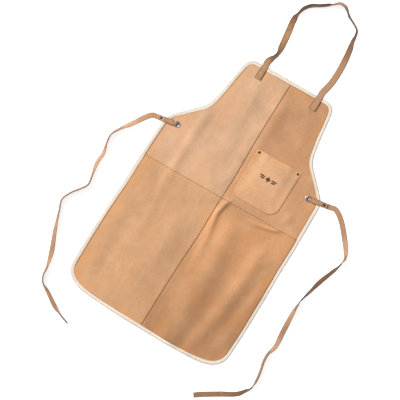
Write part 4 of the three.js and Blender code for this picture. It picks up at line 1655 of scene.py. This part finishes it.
@dataclass
class Pocket:
    """The chest pocket, sewn round on three sides, slack in the middle and open at the top."""

    left: float = 20 * MM
    right: float = 183 * MM
    bottom: float = 55 * MM
    top: float = 226 * MM
    corner: float = 33 * MM
    level: float = 5.75 * MM
    thick: float = 1.5 * MM
    margin: float = 7 * MM
    slack: float = 4.3 * MM
    stitch_in: float = 3.6 * MM
    rivet_x: tuple[float, float] = (28.5 * MM, 174 * MM)
    rivet_y: float = 218 * MM
    rivet_reach: float = 73 * MM

    def rivet_place(self, which: Side) -> np.ndarray:
        """Where one of the pocket's rivets sits, at the pocket's face."""
        x = self.rivet_x[0] if which is Side.LEFT else self.rivet_x[1]
        return PATTERN.place(np.array([x, self.rivet_y, self.level]))

    def rows(self) -> np.ndarray:
        """The heights of the rows, close together round the corners and at the mouth."""
        turn = np.linspace(0, math.pi / 2, 22)
        round_rows = self.bottom + self.corner * (1 - np.cos(turn))
        upper_rows = np.linspace(round_rows[-1], self.top, 74)[1:]
        return np.concatenate([round_rows, upper_rows])

    def inset_at(self, y: np.ndarray) -> np.ndarray:
        """How far the rounded corners draw the sides in at a height."""
        down = np.clip(self.bottom + self.corner - y, 0, self.corner)
        return self.corner - np.sqrt(np.maximum(self.corner**2 - down**2, 0))

    def belly(self, x: np.ndarray, y: np.ndarray) -> np.ndarray:
        """How far the pocket stands off the bib."""
        inset = self.inset_at(y)
        beside = np.minimum(x - self.left - inset, self.right - inset - x)
        inside = np.minimum(beside, y - self.bottom)
        rise = smooth((inside - self.margin) / (38 * MM))
        mouth = smooth((y - self.bottom) / (self.top - self.bottom))
        from_rivet = np.abs(np.abs(x - (self.left + self.right) / 2) - self.rivet_reach)
        held = 1 - 0.75 * np.exp(-((from_rivet / (16 * MM)) ** 2)) * mouth
        crease = 0.35 * MM * np.sin(55 * x + 80 * y) * rise
        return (self.slack * rise * (0.35 + 0.65 * mouth) + crease) * held

    def build(self) -> bpy.types.Object:
        rows = self.rows()
        share = np.linspace(0, 1, 110)[None]
        inset = self.inset_at(rows)[:, None]
        x = self.left + inset + (self.right - self.left - 2 * inset) * share
        y = np.repeat(rows[:, None], share.size, 1)
        wave = 0.5 * MM * np.sin(48 * x + 0.7) * smooth((y - (self.top - 30 * MM)) / (30 * MM))
        y = y + wave
        rise = self.belly(x, y)
        edge = np.minimum(x - self.left - inset, self.right - inset - x)
        edge = np.minimum(edge, np.minimum(y - self.bottom, self.top + 1 * MM - y))
        eased = 0.5 * MM * np.exp(-((np.maximum(edge, 0) / (0.9 * MM)) ** 2))
        top = np.dstack([x, y, self.level + rise - eased])
        bottom = np.dstack([x, y, self.level + rise - self.thick])
        points, faces = slab(PATTERN.place(top), PATTERN.place(bottom))
        run = np.full(points.shape, 0.1)
        run[:, 2] = np.tile(np.maximum(edge, 0).ravel(), 2) + 18 * MM
        piece = make_piece("pocket_leather", points, faces, POCKET_LEATHER, run)
        piece = cut_round_holes(piece, [self.rivet_place(which) for which in Side], 1.9 * MM)
        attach(piece, "bib")
        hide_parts("pocket")
        return piece

    def stitch_path(self) -> np.ndarray:
        """The pocket's line of stitching, as pattern points."""
        inset, foot = self.stitch_in, self.rivet_y - 9 * MM
        radius = self.corner - inset
        turn = np.radians(np.linspace(0, 90, 16))
        left, right, bottom = self.left + inset, self.right - inset, self.bottom + inset
        west = np.stack([left + radius * (1 - np.cos(turn)), bottom + radius * (1 - np.sin(turn))], -1)
        east = np.stack([right - radius * (1 - np.cos(turn)), bottom + radius * (1 - np.sin(turn))], -1)[::-1]
        line = evenly(np.concatenate([[[left, foot]], west, east, [[right, foot]]]), 2 * MM)
        return np.concatenate([line, np.full((len(line), 1), self.level + 0.1 * MM)], axis=1)


POCKET = Pocket()


# ---- What repeats: stitches, rivets and eyelets ---------------------------------------------------


class RepeatTree:
    """A Geometry Nodes tree with named inputs, and the way to run it on a piece."""

    def __init__(self, name: str, inputs: dict[str, tuple[str, object]]) -> None:
        """Starts the tree.

        Args:
            name: The tree's name.
            inputs: Each input's socket type and starting value, by name.
        """
        self.tree = bpy.data.node_groups.new(name, "GeometryNodeTree")
        self.ids: dict[str, str] = {}
        self.tree.interface.new_socket(name="Geometry", in_out="INPUT", socket_type="NodeSocketGeometry")
        for label, (kind, value) in inputs.items():
            socket = self.tree.interface.new_socket(name=label, in_out="INPUT", socket_type=kind)
            if value is not None:
                socket.default_value = value
            self.ids[label] = socket.identifier
        self.tree.interface.new_socket(name="Geometry", in_out="OUTPUT", socket_type="NodeSocketGeometry")
        self.start = self.add("NodeGroupInput")
        self.end = self.add("NodeGroupOutput")

    def add(self, kind: str, links: dict | None = None, **settings: object) -> bpy.types.Node:
        """Adds a node to the tree."""
        return add_node(self.tree, kind, links, **settings)

    def given(self, label: str) -> bpy.types.NodeSocket:
        """One of the tree's inputs."""
        return self.start.outputs[label]

    def finish(self, instances: bpy.types.NodeSocket) -> None:
        """Ends the tree: real geometry, smooth, in its material."""
        real = self.add("GeometryNodeRealizeInstances", {"Geometry": instances}).outputs["Geometry"]
        eased = self.add("GeometryNodeSetShadeSmooth", {"Geometry": real}).outputs["Geometry"]
        dressed = self.add("GeometryNodeSetMaterial", {"Geometry": eased, "Material": self.given("Material")})
        self.tree.links.new(dressed.outputs["Geometry"], self.end.inputs["Geometry"])

    def run(self, carrier: bpy.types.Object, name: str, values: dict[str, object]) -> bpy.types.Object:
        """Runs the tree on a carrier and returns the plain piece it makes.

        Args:
            carrier: A mesh of points or lines, which is removed.
            name: The new piece's name.
            values: The tree's inputs, by name.

        Returns:
            The plain mesh piece.
        """
        modifier = carrier.modifiers.new("repeat", "NODES")
        modifier.node_group = self.tree
        for label, value in values.items():
            modifier[self.ids[label]] = value
        return baked(carrier, name)


@dataclass(frozen=True)
class Stitch:
    """One kind of stitch: its thread, the pitch, the length that shows and the thread's thickness."""

    finish: Finish
    pitch: float
    length: float
    thick: float


SEAM_STITCH = Stitch(SEAM_THREAD, 3.4 * MM, 3.1 * MM, 0.8 * MM)
WAIST_STITCH = Stitch(SEAM_THREAD, 3.4 * MM, 3.1 * MM, 0.42 * MM)
TAPE_STITCH = Stitch(TAPE_THREAD, 3.6 * MM, 2.7 * MM, 0.62 * MM)
POCKET_STITCH = Stitch(TAN_THREAD, 3.4 * MM, 2.5 * MM, 0.62 * MM)
STRAP_STITCH = Stitch(TAN_THREAD, 3.2 * MM, 2.3 * MM, 0.62 * MM)


class Stitching:
    """Runs of stitches along seams."""

    UNEVEN = 0.1
    SEED = 7

    def __init__(self) -> None:
        """Builds the stitch tree: a line, a stitch at each pitch along it, each a little uneven."""
        number = "NodeSocketFloat"
        tree = RepeatTree(
            "stitch_run",
            {
                "Pitch": (number, 4 * MM),
                "Length": (number, 3 * MM),
                "Thickness": (number, 0.7 * MM),
                "Uneven": (number, self.UNEVEN),
                "Seed": ("NodeSocketInt", self.SEED),
                "Material": ("NodeSocketMaterial", None),
            },
        )
        line = tree.add("GeometryNodeMeshToCurve", {"Mesh": tree.given("Geometry")}).outputs["Curve"]
        links = {"Curve": line, "Length": tree.given("Pitch")}
        spaced = tree.add("GeometryNodeResampleCurve", links, mode="LENGTH")
        tangent = tree.add("GeometryNodeInputTangent").outputs["Tangent"]
        turn = tree.add("FunctionNodeAlignRotationToVector", {"Vector": tangent}, axis="X")
        links = {"Segments": 8, "Rings": 7, "Radius": 0.5}
        bead = tree.add("GeometryNodeMeshUVSphere", links).outputs["Mesh"]
        fat = tree.given("Thickness")
        links = {"X": tree.given("Length"), "Y": fat, "Z": fat}
        size = tree.add("ShaderNodeCombineXYZ", links).outputs["Vector"]
        links = {0: 1.0, 1: tree.given("Uneven")}
        least = tree.add("ShaderNodeMath", links, operation="SUBTRACT").outputs[0]
        most = tree.add("ShaderNodeMath", links, operation="ADD").outputs[0]
        links = {"Min": least, "Max": most, "Seed": tree.given("Seed")}
        chance = tree.add("FunctionNodeRandomValue", data_type="FLOAT")
        for label, value in links.items():
            socket = next(s for s in chance.inputs if s.name == label and s.enabled)
            tree.tree.links.new(value, socket)
        uneven = next(s for s in chance.outputs if s.enabled)
        scale = tree.add("ShaderNodeVectorMath", {0: size, "Scale": uneven}, operation="SCALE").outputs[0]
        links = {"Points": spaced.outputs["Curve"], "Instance": bead, "Scale": scale}
        links["Rotation"] = turn.outputs["Rotation"]
        tree.finish(tree.add("GeometryNodeInstanceOnPoints", links).outputs["Instances"])
        self.tree = tree

    def sew(self, node: str, path: np.ndarray, stitch: Stitch) -> None:
        """Args:
            node: The frame's node that it stands for.
            path: The line as pattern points with heights, (n, 3).
            stitch: The kind of stitch.
        """
        name = node.replace("_strap", "").replace("thread", "stitches")
        line = PATTERN.place(evenly(path, 1.5 * MM))
        mesh = bpy.data.meshes.new(f"{name}_line")
        mesh.from_pydata(line.tolist(), [(i, i + 1) for i in range(len(line) - 1)], [])
        carrier = bpy.data.objects.new(f"{name}_line", mesh)
        bpy.context.scene.collection.objects.link(carrier)
        values = {"Pitch": stitch.pitch, "Length": stitch.length, "Thickness": stitch.thick}
        values |= {"Uneven": self.UNEVEN, "Seed": self.SEED, "Material": stitch.finish.material()}
        piece = self.tree.run(carrier, name, values)
        move_with(piece, Half.SKIRT if node.startswith("skirt") else Half.BIB)
        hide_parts(node)
        report(piece)

    def seam_paths(self) -> dict[str, np.ndarray]:
        """The lines of the centre seam and the waist seam, by the frame's names for them."""
        level, clear = 2.35 * MM, 15 * MM
        across = 0.296 - clear
        start = 1.2 * MM
        lines = {
            "bib_centre_thread": [(0, PATTERN.waist + start), (0, PATTERN.top - clear)],
            "skirt_centre_thread": [(0, PATTERN.waist - start), (0, PATTERN.hem + clear)],
            "left_waist_thread": [(-start, PATTERN.waist), (-across, PATTERN.waist)],
            "right_waist_thread": [(start, PATTERN.waist), (across, PATTERN.waist)],
        }
        return {name: np.array([(*a, level), (*b, level)]) for name, (a, b) in lines.items()}

    def build(self, tape: EdgeTape, neck: NeckStrap) -> None:
        """Sews every line of the apron."""
        for node, path in self.seam_paths().items():
            self.sew(node, path, WAIST_STITCH if "waist" in node else SEAM_STITCH)
        for node, path in tape.stitch_paths().items():
            self.sew(node, path, TAPE_STITCH)
        self.sew("pocket_thread", POCKET.stitch_path(), POCKET_STITCH)
        for side in Side:
            self.sew(f"{side.word}_neck_strap_thread", neck.stitch_path(side), STRAP_STITCH)


@dataclass
class Fittings:
    """The eyelets and rivets."""

    rivet_radius: float = 3.9 * MM
    rivet_rise: float = 1.7 * MM
    post: float = 1.5 * MM
    flange: float = 11.5 * MM
    bore: float = 6.0 * MM

    def __post_init__(self) -> None:
        """Builds the tree that sets a turned fitting on its points."""
        inputs = {"Fitting": ("NodeSocketObject", None), "Turn": ("NodeSocketFloat", 0.0)}
        tree = RepeatTree("set_fittings", {**inputs, "Material": ("NodeSocketMaterial", None)})
        links = {"Object": tree.given("Fitting")}
        shape = tree.add("GeometryNodeObjectInfo", links, transform_space="ORIGINAL").outputs["Geometry"]
        spin = tree.add("ShaderNodeCombineXYZ", {"Z": tree.given("Turn")}).outputs["Vector"]
        links = {"Points": tree.given("Geometry"), "Instance": shape, "Rotation": spin}
        tree.finish(tree.add("GeometryNodeInstanceOnPoints", links).outputs["Instances"])
        self.tree = tree

    def set(
        self, name: str, profile: list[Pair], place: np.ndarray, finish: Finish, body: str, node: str
    ) -> None:
        """Args:
            name: The piece's name.
            profile: Its (radius, height) points, counted from its place.
            place: Where its axis stands.
            finish: Its finish.
            body: The body that it rides on.
            node: The frame's node that it stands for.
        """
        points, faces = turned(profile, np.zeros(3), sides=44)
        master = make_piece(f"{name}_master", points, faces, finish)
        mesh = bpy.data.meshes.new(f"{name}_point")
        mesh.from_pydata([place.tolist()], [], [])
        carrier = bpy.data.objects.new(f"{name}_point", mesh)
        bpy.context.scene.collection.objects.link(carrier)
        values = {"Fitting": master, "Turn": 0.7 * len(name), "Material": finish.material()}
        piece = self.tree.run(carrier, name, values)
        bpy.data.objects.remove(master)
        piece.data.set_sharp_from_angle(angle=math.radians(38))
        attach(piece, body)
        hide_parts(node)
        report(piece)

    def cap(self, seat: float, foot: float) -> list[Pair]:
        """A rivet's domed cap with a thin rolled rim, and its post.

        Args:
            seat: The height of the cap's underside.
            foot: The height of the post's foot.

        Returns:
            The profile, as (radius, height) points.
        """
        rim, dome = 0.35 * MM, []
        for angle in np.radians(np.linspace(0, 90, 9)):
            radius = (self.rivet_radius - 0.5 * MM) * math.cos(angle)
            dome.append((radius, seat + rim + 0.1 * MM + (self.rivet_rise - rim) * math.sin(angle)))
        dome[-1] = (0.0, dome[-1][1])
        edge, over = self.rivet_radius, seat + rim
        lip = [(edge - 0.15 * MM, seat), (edge, seat + rim * 0.5)]
        lip += [(edge - 0.12 * MM, over), (edge - 0.4 * MM, over)]
        post = [(0.0, foot), (self.post - 0.2 * MM, foot), (self.post, foot + 0.2 * MM), (self.post, seat)]
        return [*post, *lip, *dome]

    def back(self, low: float, high: float) -> list[Pair]:
        """The disc at a rivet's back, dished where the post is pressed in.

        Args:
            low: The height of the disc's underside.
            high: The height of its top.

        Returns:
            The profile, as (radius, height) points.
        """
        edge = self.rivet_radius
        return [
            (0.0, low + 0.3 * MM), (1.1 * MM, low + 0.28 * MM), (1.6 * MM, low), (edge - 0.4 * MM, low),
            (edge, low + 0.3 * MM), (edge, high - 0.15 * MM), (edge - 0.15 * MM, high), (0.0, high),
        ]

    def build(self, ties: list[WaistTie]) -> None:
        """Sets every eyelet and rivet."""
        for side in Side:
            self.eyelet(side)
            place = POCKET.rivet_place(side)
            name = f"{side.word}_pocket_rivet"
            self.set(name, self.cap(0.2 * MM, -3.4 * MM), place, BRONZED, "bib", f"{name}_cap")
            back = self.back(-4.75 * MM, -3.75 * MM)
            self.set(f"{name}_disc", back, place, BRONZED, "bib", f"{name}_back")
        for tie in ties:
            body = f"{tie.side.word}_tie"
            name = f"{body}_rivet"
            place = tie.at(tie.rivet_at)
            self.set(name, self.cap(4.95 * MM, 2.65 * MM), place, BRONZED, body, f"{name}_cap")
            back = self.back(1.5 * MM, 2.55 * MM)
            self.set(f"{name}_disc", back, place, BRONZED, body, f"{name}_back")

    def eyelet(self, side: Side) -> None:
        """One eyelet, with its rolled flange and its barrel, and its washer."""
        word = side.word
        centre = centre_of(f"{word}_eyelet") * (1, 1, 0)
        low, seat, r = 1.3 * MM, 4.1 * MM, self.bore
        barrel = 0.7 * MM
        crown = []
        middle, half = (r + self.flange) / 2, (self.flange - r) / 2
        for angle in np.radians(np.linspace(180, 0, 13)):
            height = seat + 0.15 * MM + 1.2 * MM * math.sin(angle) ** 0.75
            crown.append((middle + half * math.cos(angle), height))
        under = [(self.flange - 0.25 * MM, seat), (r + barrel, seat), (r + barrel, low)]
        profile = [(r, low + 0.2 * MM), *crown, *under]
        self.set(f"{word}_eyelet_ring", profile, centre, NICKEL, "bib", f"{word}_eyelet")
        inner = r + 1.1 * MM
        washer = [
            (inner, low), (self.flange - 0.3 * MM, low), (self.flange, low + 0.2 * MM),
            (self.flange - 0.1 * MM, low + 0.5 * MM), (inner + 0.3 * MM, low + 0.6 * MM),
            (inner, low + 0.4 * MM),
        ]
        self.set(f"{word}_eyelet_back", washer, centre, NICKEL, "bib", f"{word}_eyelet_washer")


# ---- Assembly -----------------------------------------------------------------------------------


def main() -> None:
    """Builds the studio, the straps and the rest of the apron, and reports each piece."""
    logging.basicConfig(level=logging.INFO, format="%(name)s: %(message)s")
    Studio().build()
    neck = NeckStrap()
    report(neck.loop())
    ties = [WaistTie(Side.LEFT, LEFT_TAIL), WaistTie(Side.RIGHT, RIGHT_TAIL)]
    for tie in ties:
        report(tie.loop())
        report(tie.free_tail())
    for side in Side:
        report(neck.sewn_end(side))
    for half in Half:
        for side in Side:
            report(Panel(half, side).build())
    tape = EdgeTape()
    for half in Half:
        report(tape.build(half))
    report(POCKET.build())
    Stitching().build(tape, neck)
    Fittings().build(ties)


if __name__ == "__main__":
    main()
